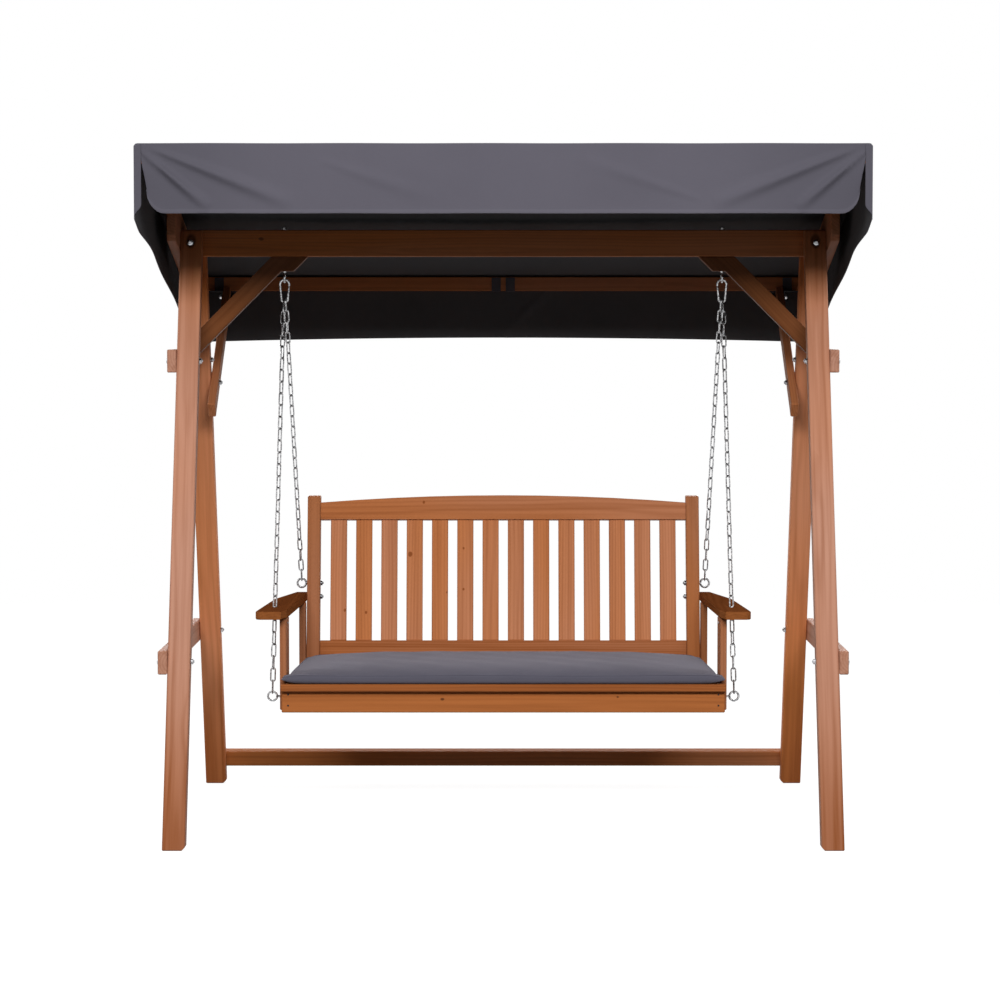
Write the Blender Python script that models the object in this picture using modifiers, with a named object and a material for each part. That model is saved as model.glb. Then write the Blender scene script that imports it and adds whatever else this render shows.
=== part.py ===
"""Canopy swing bench: a timber A-frame, a slatted bench hung on chains, and a cloth canopy.

Metres, +Z up, X along the bench, -Y to the front. The origin is on the ground at the
middle of the four feet. Each piece is one named object that stands where it is fitted,
and the hanging pieces are parented to an empty on the axis they swing about.
"""

import math

import bmesh
import bpy
from mathutils import Matrix, Vector

# Fits and finishes
CLEARANCE = 0.0003
TIMBER_EDGE = 0.0025
OVERRUN = 0.002
GLUE_OVERLAP = 0.001

# A-frame
FRAME_HALF_WIDTH = 0.896
LEG_WIDTH = 0.060
LEG_DEPTH = 0.045
LEG_LEAN = math.radians(18.9)
LEG_TOP = 1.641
LEG_SEAT_HEIGHT = 0.043
FOOT_CHAMFER = 0.009
BOLT_FROM_OUTSIDE = 0.0275

# Top beam and its corner braces
BEAM_ABOVE_LEGS = 0.002
BEAM_HEIGHT = 0.0735
BEAM_DEPTH = 0.060
BRACE_THICKNESS = 0.045
BRACE_DEPTH = 0.0467
BRACE_HEAD_LENGTH = 0.1012
HOOK_FROM_HEAD_END = 0.0343
BRACE_DROP = 0.0407

# Side rails outside the legs, and the stretcher behind the rear legs
RAIL_THICKNESS = 0.025
RAIL_HEIGHT = 0.063
UPPER_RAIL_BELOW_BEAM = 0.3634
LOWER_RAIL_Z = 0.4787
RAIL_END_OVERHANG = 0.0085
STRETCHER_Z = 0.0703
STRETCHER_HEIGHT = 0.0486
STRETCHER_THICKNESS = 0.025
STRETCHER_OVERHANG = 0.003

# Canopy frame
CANOPY_OVERHANG = 0.061
CANOPY_REAR_Y = 0.6133
CANOPY_FRONT_RISE = 0.205
CANOPY_REAR_BELOW_BEAM = 0.1175
CANOPY_RAIL_THICKNESS = 0.025
CANOPY_RAIL_HEIGHT = 0.042
RAFTER_THICKNESS = 0.025
RAFTER_HEIGHT = 0.045
BEARER_HEIGHT = 0.070
BEARER_FRONT_Y = -0.190
BEARER_REAR_Y = 0.150
BEARER_CLIP = 0.012
STRUT_THICKNESS = 0.022
STRUT_DEPTH = 0.045
STRUT_SLOPE = math.radians(33.3)
STRUT_TAIL = 0.140
STRUT_BELOW_BEAM = 0.429
BRACKET_WALL = 0.003
BRACKET_WIDTH = 0.040
KNOB_RADIUS = 0.012
KNOB_HEIGHT = 0.013

# Canopy cloth
CLOTH = 0.0030
FRONT_DROP = 0.181
REAR_DROP = 0.184
REAR_CORNER_DROP = 0.014
SIDE_DROP = 0.175
SIDE_LEAN = 0.016
CORNER_RADIUS = 0.055
CORNER_SLIT = 0.008
ROOF_SAG = 0.012
FOLD_DEPTH = 0.007
FOLD_LENGTH = 0.310

# Hooks: an eye bolt through brace and beam, and a snap hook in it
HOOK_BESIDE_SEAT = 0.0233
EYE_WIRE = 0.003
EYE_RADIUS = 0.011
EYE_STANDOFF = 0.0185
COLLAR_RADIUS = 0.0052
COLLAR_HEIGHT = 0.0025
SNAP_WIRE = 0.003
SNAP_TOP_RADIUS = 0.0130
SNAP_FOOT_HALF = 0.0086
SNAP_FOOT_RADIUS = 0.0045
SNAP_LENGTH = 0.0603
GATE_START = 0.0125
GATE_LENGTH = 0.029
GATE_RADIUS = 0.0026
GATE_TIP = 0.0012
GATE_TAPER = 0.003
GATE_GAP = 0.0007

# Chain
CHAIN_WIRE = 0.0020
CHAIN_HALF_WIDTH = 0.008
CHAIN_BITE = 0.00025
FRONT_LINKS = 33
REAR_LINKS = 27
FIRST_LINK_APART = 0.0026

# Seat. Its front edge is a driving size: it puts the weight under the hooks. The widths of the
# bench follow the frame's, each by how far it lies inside or outside the next one.
SEAT_FRONT_Y = -0.3605
SEAT_INSIDE_FRAME = 0.3073
NOSING_OVERHANG = 0.0138
NOSING_DEPTH = 0.040
SEAT_TOP = 0.4077
SLAT_THICKNESS = 0.0198
SEAT_SLATS = 5
SEAT_SLAT_GAP = 0.018
DECK_BACK_GAP = 0.015
APRON_OVERHANG = 0.0122
APRON_THICKNESS = 0.020
APRON_SETBACK = 0.020
APRON_HEIGHT = 0.0597
SEAT_RAIL_THICKNESS = 0.025
SEAT_RAIL_HEIGHT = 0.058
REAR_RAIL_SETBACK = 0.030
BATTEN_X = 0.190
BATTEN_WIDTH = 0.030
BATTEN_HEIGHT = 0.032

# Arms
ARM_TOP = 0.6069
ARM_THICKNESS = 0.0228
ARM_FRONT_REACH = 0.005
ARM_INNER_OVERHANG = 0.0118
ARM_PADDLE_OVERHANG = 0.0802
ARM_WAIST_OVERHANG = 0.0567
ARM_TAIL_WIDTH = 0.0326
ARM_TAIL_LENGTH = 0.050
CHAIN_HOLE_RADIUS = 0.0135
ARM_POST_THICKNESS = 0.018
FRONT_POST_DEPTH = 0.070
REAR_POST_DEPTH = 0.050
REAR_POST_FROM_FRONT = 0.500
POST_SKIRT = 0.004

# Where the armrest's outline turns, as shares of its length from its front, and how much of the
# paddle's width is left at its middle
ARM_POST_SHARE = 0.07
ARM_MIDDLE_SHARE = 0.46
ARM_WAIST_SHARE = 0.63
ARM_MIDDLE_WIDTH_SHARE = 0.3

# Back
BACK_INSET = 0.0224
BACK_LEAN = math.radians(11.0)
BACK_FROM_FRONT = 0.535
BACK_DATUM_Z = 0.429
BACK_POST_WIDTH = 0.0373
BACK_POST_DEPTH = 0.045
BACK_POST_ABOVE_RAIL = 0.0174
TOP_RAIL_BOTTOM = 0.8182
TOP_RAIL_END_HEIGHT = 0.0485
TOP_RAIL_CROWN_RISE = 0.0209
BOTTOM_RAIL_TOP = 0.4736
BOTTOM_RAIL_HEIGHT = 0.045
BACK_RAIL_THICKNESS = 0.028
BACK_RAIL_SETBACK = 0.006
BACK_SLATS = 14
BACK_SLAT_WIDTH = 0.0469
BACK_SLAT_END_GAP = 0.02945
BACK_SLAT_THICKNESS = 0.014
TENON = 0.010

# Cushion
CUSHION_EDGE_HEIGHT = 0.0257
CUSHION_CROWN = 0.0215
CUSHION_ROUNDING = 0.007
CUSHION_DRAW_IN = 0.005
CUSHION_SIDE_GAP = 0.004

# Bolts
HEAD_RADIUS = 0.0095
HEAD_HEIGHT = 0.0055
SHANK_RADIUS = 0.004
NUT_RADIUS = 0.0075
NUT_HEIGHT = 0.0065
THREAD_END = 0.003
SEAT_EYE_RADIUS = 0.0125
SEAT_EYE_Z = 0.368
FRONT_EYE_REACH = 0.0240
REAR_EYE_Z = 0.6342
REAR_EYE_REACH = 0.0164

# Counts of flat sides on round pieces
BOLT_SIDES = 8
RING_STEPS = 10
RING_SIDES = 6
LINK_STEPS = 8
LINK_SIDES = 4

# Worked out from the values above
LEAN_TAN = math.tan(LEG_LEAN)
LEG_FLAT = LEG_DEPTH / math.cos(LEG_LEAN)
LEG_SEAT_BOTTOM = LEG_TOP - LEG_SEAT_HEIGHT
BEAM_TOP = LEG_TOP + BEAM_ABOVE_LEGS
CANOPY_FRONT_Z = BEAM_TOP + CANOPY_FRONT_RISE
CANOPY_REAR_Z = BEAM_TOP - CANOPY_REAR_BELOW_BEAM
STRUT_Z = BEAM_TOP - STRUT_BELOW_BEAM
LEG_INNER = FRAME_HALF_WIDTH - LEG_WIDTH
CANOPY_HALF_WIDTH = FRAME_HALF_WIDTH + CANOPY_OVERHANG
SEAT_RAIL_OUTER = FRAME_HALF_WIDTH - SEAT_INSIDE_FRAME
BACK_OUTER = SEAT_RAIL_OUTER - BACK_INSET
HOOK_X = SEAT_RAIL_OUTER + HOOK_BESIDE_SEAT
BRACE_HEAD_OUTER = HOOK_X + HOOK_FROM_HEAD_END
BRACE_HEAD_INNER = BRACE_HEAD_OUTER - BRACE_HEAD_LENGTH
FOOT_Y = BEAM_DEPTH / 2 + CLEARANCE + LEG_FLAT + LEG_SEAT_BOTTOM * LEAN_TAN
OUTER_PLANE = FRAME_HALF_WIDTH + CLEARANCE
BEAM_BOTTOM = BEAM_TOP - BEAM_HEIGHT
UPPER_RAIL_Z = BEAM_TOP - UPPER_RAIL_BELOW_BEAM
STRETCHER_FACE = FOOT_Y - STRETCHER_Z * LEAN_TAN
STRETCHER_OUT = (CLEARANCE + STRETCHER_THICKNESS) * math.cos(LEG_LEAN)
STRETCHER_DIP = (STRETCHER_HEIGHT / 2 - TIMBER_EDGE) * math.sin(LEG_LEAN)
CANOPY_FRONT_Y = -(STRETCHER_FACE + STRETCHER_OUT + STRETCHER_DIP)
ROOF_FALL = (CANOPY_FRONT_Z - CANOPY_REAR_Z) / (CANOPY_REAR_Y - CANOPY_FRONT_Y)
ROOF_COS = math.cos(math.atan(ROOF_FALL))
CLOTH_BELOW = CLOTH + CLEARANCE
BRACE_TOP = BEAM_BOTTOM - CLEARANCE
HOOK_SEAT_Z = BRACE_TOP - BRACE_DROP
EYE_CENTRE_Z = HOOK_SEAT_Z - EYE_STANDOFF
SNAP_TOP_Z = EYE_CENTRE_Z - EYE_RADIUS + EYE_WIRE + CLEARANCE + SNAP_WIRE
SNAP_FOOT_Z = SNAP_TOP_Z - SNAP_LENGTH
SLAT_BOTTOM = SEAT_TOP - SLAT_THICKNESS
SEAT_RAIL_TOP = SLAT_BOTTOM - CLEARANCE
APRON_BACK_Y = SEAT_FRONT_Y + APRON_SETBACK + APRON_THICKNESS
SIDE_START_Y = APRON_BACK_Y + CLEARANCE
REAR_POST_Y = SEAT_FRONT_Y + REAR_POST_FROM_FRONT
TOE_IN = math.atan((SEAT_RAIL_OUTER - BACK_OUTER) / (REAR_POST_Y - SIDE_START_Y))
BACK_FACE_Y = SEAT_FRONT_Y + BACK_FROM_FRONT
DECK_DEPTH = BACK_FROM_FRONT - DECK_BACK_GAP - NOSING_DEPTH
SEAT_SLAT_DEPTH = DECK_DEPTH / SEAT_SLATS - SEAT_SLAT_GAP
BACK_INNER = BACK_OUTER - BACK_POST_WIDTH
BACK_HALF = BACK_INNER - CLEARANCE
BACK_SLATS_WIDTH = 2 * (BACK_HALF - BACK_SLAT_END_GAP)
BACK_SLAT_PITCH = (BACK_SLATS_WIDTH - BACK_SLAT_WIDTH) / (BACK_SLATS - 1)
TOP_RAIL_END = TOP_RAIL_BOTTOM + TOP_RAIL_END_HEIGHT
TOP_RAIL_CROWN = TOP_RAIL_END + TOP_RAIL_CROWN_RISE
BACK_POST_TOP = TOP_RAIL_END + BACK_POST_ABOVE_RAIL
NOSING_HALF = SEAT_RAIL_OUTER + NOSING_OVERHANG
ARM_BOTTOM = ARM_TOP - ARM_THICKNESS
CHAIN_RADIUS = CHAIN_HALF_WIDTH - CHAIN_WIRE

MATERIALS = {}
GROUPS = {}


def clear_scene():
    """Removes every object of the start file."""
    for thing in list(bpy.data.objects):
        bpy.data.objects.remove(thing, do_unlink=True)


def new_collection(key, name):
    """A collection linked to the scene."""
    GROUPS[key] = bpy.data.collections.new(name)
    bpy.context.scene.collection.children.link(GROUPS[key])


def finish_material(name, colour, roughness, metallic=0.0):
    """Colour, roughness and metallic value of one finish."""
    MATERIALS[name] = (colour, roughness, metallic)


def make_materials():
    """Stained timber, zinc plated steel, black fittings and the two cloths."""
    finish_material("frame_timber", (0.30, 0.105, 0.035), 0.55)
    finish_material("bench_timber", (0.36, 0.135, 0.045), 0.55)
    finish_material("zinc_steel", (0.62, 0.62, 0.60), 0.35, 1.0)
    finish_material("black_fitting", (0.015, 0.015, 0.017), 0.6)
    finish_material("canopy_cloth", (0.125, 0.118, 0.148), 0.85)
    finish_material("cushion_cloth", (0.105, 0.100, 0.130), 0.9)


def own_material(name, finish):
    """A Principled material for one piece."""
    colour, roughness, metallic = MATERIALS[finish]
    made = bpy.data.materials.new(name + "_finish")
    made.use_nodes = True
    shader = made.node_tree.nodes["Principled BSDF"]
    shader.inputs["Base Color"].default_value = (*colour, 1.0)
    shader.inputs["Roughness"].default_value = roughness
    shader.inputs["Metallic"].default_value = metallic
    return made


def add_part(name, mesh, finish):
    """Links a mesh as one named object of the bench."""
    thing = bpy.data.objects.new(name, mesh)
    GROUPS["parts"].objects.link(thing)
    mesh.materials.clear()
    mesh.materials.append(own_material(name, finish))
    return thing


def add_tool(name, mesh):
    """Links a mesh that only cuts or joins."""
    tool = bpy.data.objects.new(name, mesh)
    GROUPS["cutters"].objects.link(tool)
    tool.hide_render = True
    tool.display_type = "WIRE"
    return tool


def ease_edges(thing, width=TIMBER_EDGE):
    """A one-step chamfer on sawn edges."""
    modifier = thing.modifiers.new("eased_edges", "BEVEL")
    modifier.width = width
    modifier.segments = 1
    modifier.limit_method = "ANGLE"


def combine(thing, tool, operation):
    """Cuts a tool's shape out of a piece, or joins it to the piece."""
    modifier = thing.modifiers.new(tool.name, "BOOLEAN")
    modifier.operation = operation
    modifier.object = tool


def smooth(mesh):
    """Smooth shading on round work, with its real corners kept sharp."""
    mesh.shade_smooth()
    mesh.set_sharp_from_angle(angle=math.radians(50))


def taken_mesh(thing):
    """The evaluated mesh of a helper object, which is then removed, with its seams welded."""
    graph = bpy.context.evaluated_depsgraph_get()
    mesh = bpy.data.meshes.new_from_object(thing.evaluated_get(graph))
    bpy.data.objects.remove(thing, do_unlink=True)
    shape = bmesh.new()
    shape.from_mesh(mesh)
    bmesh.ops.remove_doubles(shape, verts=shape.verts, dist=0.00001)
    bmesh.ops.recalc_face_normals(shape, faces=shape.faces)
    shape.to_mesh(mesh)
    shape.free()
    return mesh


def helper_object(name, data):
    """A passing object in the scene's own collection."""
    thing = bpy.data.objects.new(name, data)
    bpy.context.scene.collection.objects.link(thing)
    return thing


def boxes_mesh(name, boxes):
    """Box primitives, each given by its size and centre, in one mesh."""
    shape = bmesh.new()
    for size, centre in boxes:
        place = Matrix.Translation(Vector(centre)) @ Matrix.Diagonal((*size, 1.0))
        bmesh.ops.create_cube(shape, size=1.0, matrix=place)
    mesh = bpy.data.meshes.new(name)
    shape.to_mesh(mesh)
    shape.free()
    return mesh


def board(name, size, centre, finish, turn=None):
    """A straight sawn board, set at its centre and turned."""
    thing = add_part(name, boxes_mesh(name, [(size, (0, 0, 0))]), finish)
    thing.location = centre
    if turn:
        thing.rotation_euler = turn
    ease_edges(thing)
    return thing


def outline_mesh(name, points, thickness):
    """A flat outline in local X and Y, made a plate of the given thickness about Z = 0."""
    curve = bpy.data.curves.new(name, "CURVE")
    curve.dimensions = "2D"
    curve.fill_mode = "BOTH"
    curve.extrude = thickness / 2
    spline = curve.splines.new("POLY")
    spline.points.add(len(points) - 1)
    for point, (x, y) in zip(spline.points, points):
        point.co = (x, y, 0.0, 1.0)
    spline.use_cyclic_u = True
    return taken_mesh(helper_object(name + "_outline", curve))


# Where an outline's X and Y, and then its thickness, point when it is stood up
IN_YZ = Matrix(((0, 0, 1, 0), (1, 0, 0, 0), (0, 1, 0, 0), (0, 0, 0, 1)))
IN_XZ = Matrix(((1, 0, 0, 0), (0, 0, -1, 0), (0, 1, 0, 0), (0, 0, 0, 1)))
IN_XY = Matrix.Identity(4)


def plate(name, points, thickness, place, axes, finish):
    """A board cut to an outline, with its middle plane at a place."""
    thing = add_part(name, outline_mesh(name, points, thickness), finish)
    thing.matrix_world = place @ axes
    ease_edges(thing)
    return thing


def move(x=0.0, y=0.0, z=0.0):
    """A translation."""
    return Matrix.Translation(Vector((x, y, z)))


def facing(direction):
    """The rotation that turns local +Z along a direction."""
    return Vector(direction).to_track_quat("Z", "Y").to_matrix().to_4x4()


def turned_mesh(name, profile, sides=BOLT_SIDES):
    """A solid of revolution about Z from (radius, height) points, top to bottom."""
    mesh = bpy.data.meshes.new(name)
    points = [(radius, 0.0, height) for radius, height in profile]
    mesh.from_pydata(points, [(i, i + 1) for i in range(len(points) - 1)], [])
    lathe = helper_object(name + "_lathe", mesh)
    screw = lathe.modifiers.new("lathe", "SCREW")
    screw.steps = sides
    screw.render_steps = sides
    screw.use_merge_vertices = True
    screw.merge_threshold = 0.00001
    made = taken_mesh(lathe)
    smooth(made)
    return made


def drill(things, place, length, name, turns=False):
    """A straight bolt hole down local Z from a seat, through each piece; wider where the bolt turns."""
    across_flats = math.cos(math.pi / BOLT_SIDES)
    hole = SHANK_RADIUS / (across_flats if turns else 1) + CLEARANCE / across_flats
    profile = [(0, OVERRUN), (hole, OVERRUN), (hole, -length - OVERRUN), (0, -length - OVERRUN)]
    mesh = turned_mesh(name, profile)
    for thing in things:
        tool = add_tool("%s_in_%s" % (name, thing.name), mesh)
        tool.matrix_world = place
        combine(thing, tool, "DIFFERENCE")


def nut_profile(grip):
    """The outline of the nut and thread end of a bolt, from its far seat down."""
    seat = -grip - CLEARANCE
    return [
        (SHANK_RADIUS, seat),
        (NUT_RADIUS, seat),
        (NUT_RADIUS, seat - NUT_HEIGHT),
        (SHANK_RADIUS, seat - NUT_HEIGHT),
        (SHANK_RADIUS, seat - NUT_HEIGHT - THREAD_END),
        (0, seat - NUT_HEIGHT - THREAD_END),
    ]


def bolt(name, things, seat, direction, grip):
    """A dome-headed bolt and its nut as fitted, and its hole through the pieces."""
    profile = [
        (0, HEAD_HEIGHT),
        (HEAD_RADIUS * 0.6, HEAD_HEIGHT * 0.85),
        (HEAD_RADIUS, CLEARANCE),
        (SHANK_RADIUS, CLEARANCE),
    ] + nut_profile(grip)
    thing = add_part(name, turned_mesh(name, profile), "zinc_steel")
    place = Matrix.Translation(Vector(seat)) @ facing(-Vector(direction))
    thing.matrix_world = place
    drill(things, place, grip, name + "_hole")
    return thing


def torus_mesh(radius, wire, steps, sides):
    """A ring about Z, from the torus primitive."""
    bpy.ops.mesh.primitive_torus_add(
        major_segments=steps, minor_segments=sides, major_radius=radius, minor_radius=wire
    )
    ring = bpy.context.active_object
    mesh = ring.data
    bpy.data.objects.remove(ring, do_unlink=True)
    smooth(mesh)
    return mesh


def eye_bolt(name, things, seat, direction, grip, radius, reach):
    """A welded ring on a collared shank, with its nut, and its hole through the pieces."""
    profile = [
        (0, reach - radius + EYE_WIRE / 2),
        (SHANK_RADIUS * 0.8, reach - radius + EYE_WIRE / 2),
        (SHANK_RADIUS * 0.8, CLEARANCE + COLLAR_HEIGHT),
        (COLLAR_RADIUS, CLEARANCE + COLLAR_HEIGHT),
        (COLLAR_RADIUS, CLEARANCE),
        (SHANK_RADIUS, CLEARANCE),
    ] + nut_profile(grip)
    thing = add_part(name, turned_mesh(name, profile), "zinc_steel")
    place = Matrix.Translation(Vector(seat)) @ facing(-Vector(direction))
    thing.matrix_world = place
    ring = add_tool(name + "_ring", torus_mesh(radius, EYE_WIRE, RING_STEPS, RING_SIDES))
    upright = Matrix.Rotation(math.pi / 2, 4, "Z") @ Matrix.Rotation(math.pi / 2, 4, "X")
    half_step = Matrix.Rotation(math.pi / RING_STEPS, 4, "Z")
    ring.matrix_world = place @ move(z=reach) @ upright @ half_step
    combine(thing, ring, "UNION")
    drill(things, place, grip, name + "_hole")
    return thing


def sides():
    """The two sides of the bench, with their signs along X."""
    return (("left", -1), ("right", 1))


def leg_face_y(z):
    """Where the sloping outer face of a front leg is at a height."""
    return -FOOT_Y + z * LEAN_TAN


def leg_middle_y(z):
    """The middle of a front leg at a height."""
    return leg_face_y(z) + LEG_FLAT / 2


def roof_z(y):
    """The top of the stretched cloth at a distance along the roof."""
    return CANOPY_FRONT_Z - (y - CANOPY_FRONT_Y) * ROOF_FALL


def under_cloth_z(y, depth=0.0):
    """A line below the cloth, measured square to the roof."""
    return roof_z(y) - (CLOTH_BELOW + depth) / ROOF_COS


def make_leg(name, x_sign, y_sign):
    """A leaning leg with a level foot and top, planed upright where it meets the beam."""
    seat_y = -BEAM_DEPTH / 2 - CLEARANCE
    outline = [
        (-FOOT_Y, 0),
        (-FOOT_Y + LEG_FLAT, 0),
        (seat_y, LEG_SEAT_BOTTOM),
        (seat_y, LEG_TOP),
        (leg_face_y(LEG_TOP), LEG_TOP),
    ]
    points = [(-y_sign * y, z) for y, z in outline]
    middle = x_sign * (FRAME_HALF_WIDTH - LEG_WIDTH / 2)
    leg = plate(name, points, LEG_WIDTH, move(x=middle), IN_YZ, "frame_timber")
    wedge = [(-FOOT_CHAMFER, 0), (FOOT_CHAMFER, 0), (0, FOOT_CHAMFER)]
    tool = add_tool(name + "_foot_chamfer", outline_mesh(name + "_wedge", wedge, LEG_DEPTH * 4))
    tool.matrix_world = move(x_sign * LEG_INNER, y_sign * (FOOT_Y - LEG_FLAT / 2), -CLEARANCE) @ IN_XZ
    combine(leg, tool, "DIFFERENCE")
    return leg


def make_legs():
    """Four legs, by end and side."""
    return {
        (end, side): make_leg("%s_leg_%s" % (end, side), x_sign, y_sign)
        for end, y_sign in (("front", -1), ("rear", 1))
        for side, x_sign in sides()
    }


def make_side_rails(legs):
    """Rails across the outer sides of the legs, each with a bolt at either end."""
    for side, x_sign in sides():
        for level, z in (("upper", UPPER_RAIL_Z), ("lower", LOWER_RAIL_Z)):
            size = (RAIL_THICKNESS, 2 * (RAIL_END_OVERHANG - leg_face_y(z)), RAIL_HEIGHT)
            centre = (x_sign * (OUTER_PLANE + RAIL_THICKNESS / 2), 0, z)
            rail = board("%s_side_rail_%s" % (level, side), size, centre, "frame_timber")
            for end, y_sign in (("front", -1), ("rear", 1)):
                seat = (x_sign * (OUTER_PLANE + RAIL_THICKNESS), -y_sign * leg_middle_y(z), z)
                grip = RAIL_THICKNESS + CLEARANCE + LEG_WIDTH
                name = "%s_rail_bolt_%s_%s" % (level, end, side)
                bolt(name, [rail, legs[end, side]], seat, (-x_sign, 0, 0), grip)


def make_beam(legs):
    """The beam between the leg tops, with one long bolt at each end in sunk seats."""
    size = (2 * FRAME_HALF_WIDTH, BEAM_DEPTH, BEAM_HEIGHT)
    z = BEAM_TOP - BEAM_HEIGHT / 2
    beam = board("top_beam", size, (0, 0, z), "frame_timber")
    recess = HEAD_RADIUS + OVERRUN
    floor = leg_face_y(z + recess)
    profile = [(0, LEG_DEPTH), (recess, LEG_DEPTH), (recess, 0), (0, 0)]
    for side, x_sign in sides():
        x = x_sign * (FRAME_HALF_WIDTH - BOLT_FROM_OUTSIDE)
        for end, y_sign in (("front", -1), ("rear", 1)):
            name = "bolt_seat_%s_%s" % (end, side)
            tool = add_tool(name, turned_mesh(name, profile))
            tool.matrix_world = move(x, -y_sign * floor, z) @ facing((0, y_sign, 0))
            combine(legs[end, side], tool, "DIFFERENCE")
        pieces = [legs["front", side], beam, legs["rear", side]]
        bolt("leg_top_bolt_" + side, pieces, (x, floor, z), (0, 1, 0), -2 * floor)
    return beam


def make_brace(side, x_sign):
    """A corner brace cut from one plank, with a deeper head for the hook under the beam."""
    end_x = FRAME_HALF_WIDTH
    upper_end_z = BRACE_TOP - (end_x - BRACE_HEAD_OUTER)
    lower_end_z = upper_end_z - BRACE_DEPTH * math.sqrt(2)
    points = [
        (BRACE_HEAD_INNER, BRACE_TOP),
        (BRACE_HEAD_INNER + BRACE_DROP, HOOK_SEAT_Z),
        (end_x - (HOOK_SEAT_Z - lower_end_z), HOOK_SEAT_Z),
        (end_x, lower_end_z),
        (end_x, upper_end_z),
        (BRACE_HEAD_OUTER, BRACE_TOP),
    ]
    points = [(x_sign * x, z) for x, z in points]
    return plate("corner_brace_" + side, points, BRACE_THICKNESS, move(), IN_XZ, "frame_timber")


def make_hooks(beam, braces):
    """The eye bolt that goes up through each brace and the beam."""
    grip = BEAM_TOP - HOOK_SEAT_Z
    for side, x_sign in sides():
        eye_bolt(
            "hook_eye_bolt_" + side,
            [braces[side], beam],
            (x_sign * HOOK_X, 0, HOOK_SEAT_Z),
            (0, 0, 1),
            grip,
            EYE_RADIUS,
            EYE_STANDOFF,
        )


def make_stretcher():
    """The low stretcher across the backs of the rear legs."""
    out = Vector((0, math.cos(LEG_LEAN), math.sin(LEG_LEAN)))
    centre = Vector((0, STRETCHER_FACE, STRETCHER_Z)) + out * (CLEARANCE + STRETCHER_THICKNESS / 2)
    size = (2 * (FRAME_HALF_WIDTH + STRETCHER_OVERHANG), STRETCHER_THICKNESS, STRETCHER_HEIGHT)
    board("rear_stretcher", size, centre, "frame_timber", (LEG_LEAN, 0, 0))


def make_canopy_frame():
    """Two rails across and two rafters, each rafter glued to the bearer board under it."""
    inner_front = CANOPY_FRONT_Y + CLOTH_BELOW
    inner_rear = CANOPY_REAR_Y - CLOTH_BELOW
    rail_length = 2 * (CANOPY_HALF_WIDTH - CLOTH_BELOW)
    front_top = under_cloth_z(inner_front + CANOPY_RAIL_THICKNESS)
    rear_top = under_cloth_z(inner_rear)
    size = (rail_length, CANOPY_RAIL_THICKNESS, CANOPY_RAIL_HEIGHT)
    for end, y, top in (
        ("front", inner_front + CANOPY_RAIL_THICKNESS / 2, front_top),
        ("rear", inner_rear - CANOPY_RAIL_THICKNESS / 2, rear_top),
    ):
        board("canopy_%s_rail" % end, size, (0, y, top - CANOPY_RAIL_HEIGHT / 2), "frame_timber")
    start = inner_front + CANOPY_RAIL_THICKNESS + CLEARANCE
    stop = inner_rear - CANOPY_RAIL_THICKNESS - CLEARANCE
    deep = RAFTER_HEIGHT + BEARER_HEIGHT
    clip_front = BEARER_FRONT_Y + BEARER_CLIP
    clip_rear = BEARER_REAR_Y - BEARER_CLIP
    points = [
        (start, under_cloth_z(start, RAFTER_HEIGHT)),
        (BEARER_FRONT_Y, under_cloth_z(BEARER_FRONT_Y, RAFTER_HEIGHT)),
        (BEARER_FRONT_Y, under_cloth_z(BEARER_FRONT_Y, deep) + BEARER_CLIP),
        (clip_front, under_cloth_z(clip_front, deep)),
        (clip_rear, under_cloth_z(clip_rear, deep)),
        (BEARER_REAR_Y, under_cloth_z(BEARER_REAR_Y, deep) + BEARER_CLIP),
        (BEARER_REAR_Y, under_cloth_z(BEARER_REAR_Y, RAFTER_HEIGHT)),
        (stop, under_cloth_z(stop, RAFTER_HEIGHT)),
        (stop, under_cloth_z(stop)),
        (start, under_cloth_z(start)),
    ]
    for side, x_sign in sides():
        place = move(x=x_sign * (OUTER_PLANE + RAFTER_THICKNESS / 2))
        plate("canopy_rafter_" + side, points, RAFTER_THICKNESS, place, IN_YZ, "frame_timber")
    make_struts(stop + CLEARANCE, rear_top - CANOPY_RAIL_HEIGHT)


def make_struts(rail_front, rail_bottom):
    """Struts on the inner sides of the rear legs, clamped to brackets under the rear rail."""
    leg_y = -leg_middle_y(STRUT_Z)
    knob_y = rail_front - BRACKET_WIDTH / 2
    run = (knob_y - leg_y) / math.cos(STRUT_SLOPE)
    knob_z = STRUT_Z + run * math.sin(STRUT_SLOPE)
    length = STRUT_TAIL + run + STRUT_DEPTH / 2
    middle = length / 2 - STRUT_TAIL
    middle_y = leg_y + middle * math.cos(STRUT_SLOPE)
    middle_z = STRUT_Z + middle * math.sin(STRUT_SLOPE)
    size = (STRUT_THICKNESS, length, STRUT_DEPTH)
    for side, x_sign in sides():
        x = x_sign * (LEG_INNER - CLEARANCE - STRUT_THICKNESS / 2)
        centre = (x, middle_y, middle_z)
        strut = board("canopy_strut_" + side, size, centre, "frame_timber", (STRUT_SLOPE, 0, 0))
        bracket = make_bracket(side, x_sign, knob_z, rail_front, rail_bottom)
        make_knob(side, x_sign, knob_y, knob_z, [strut, bracket])


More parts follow.
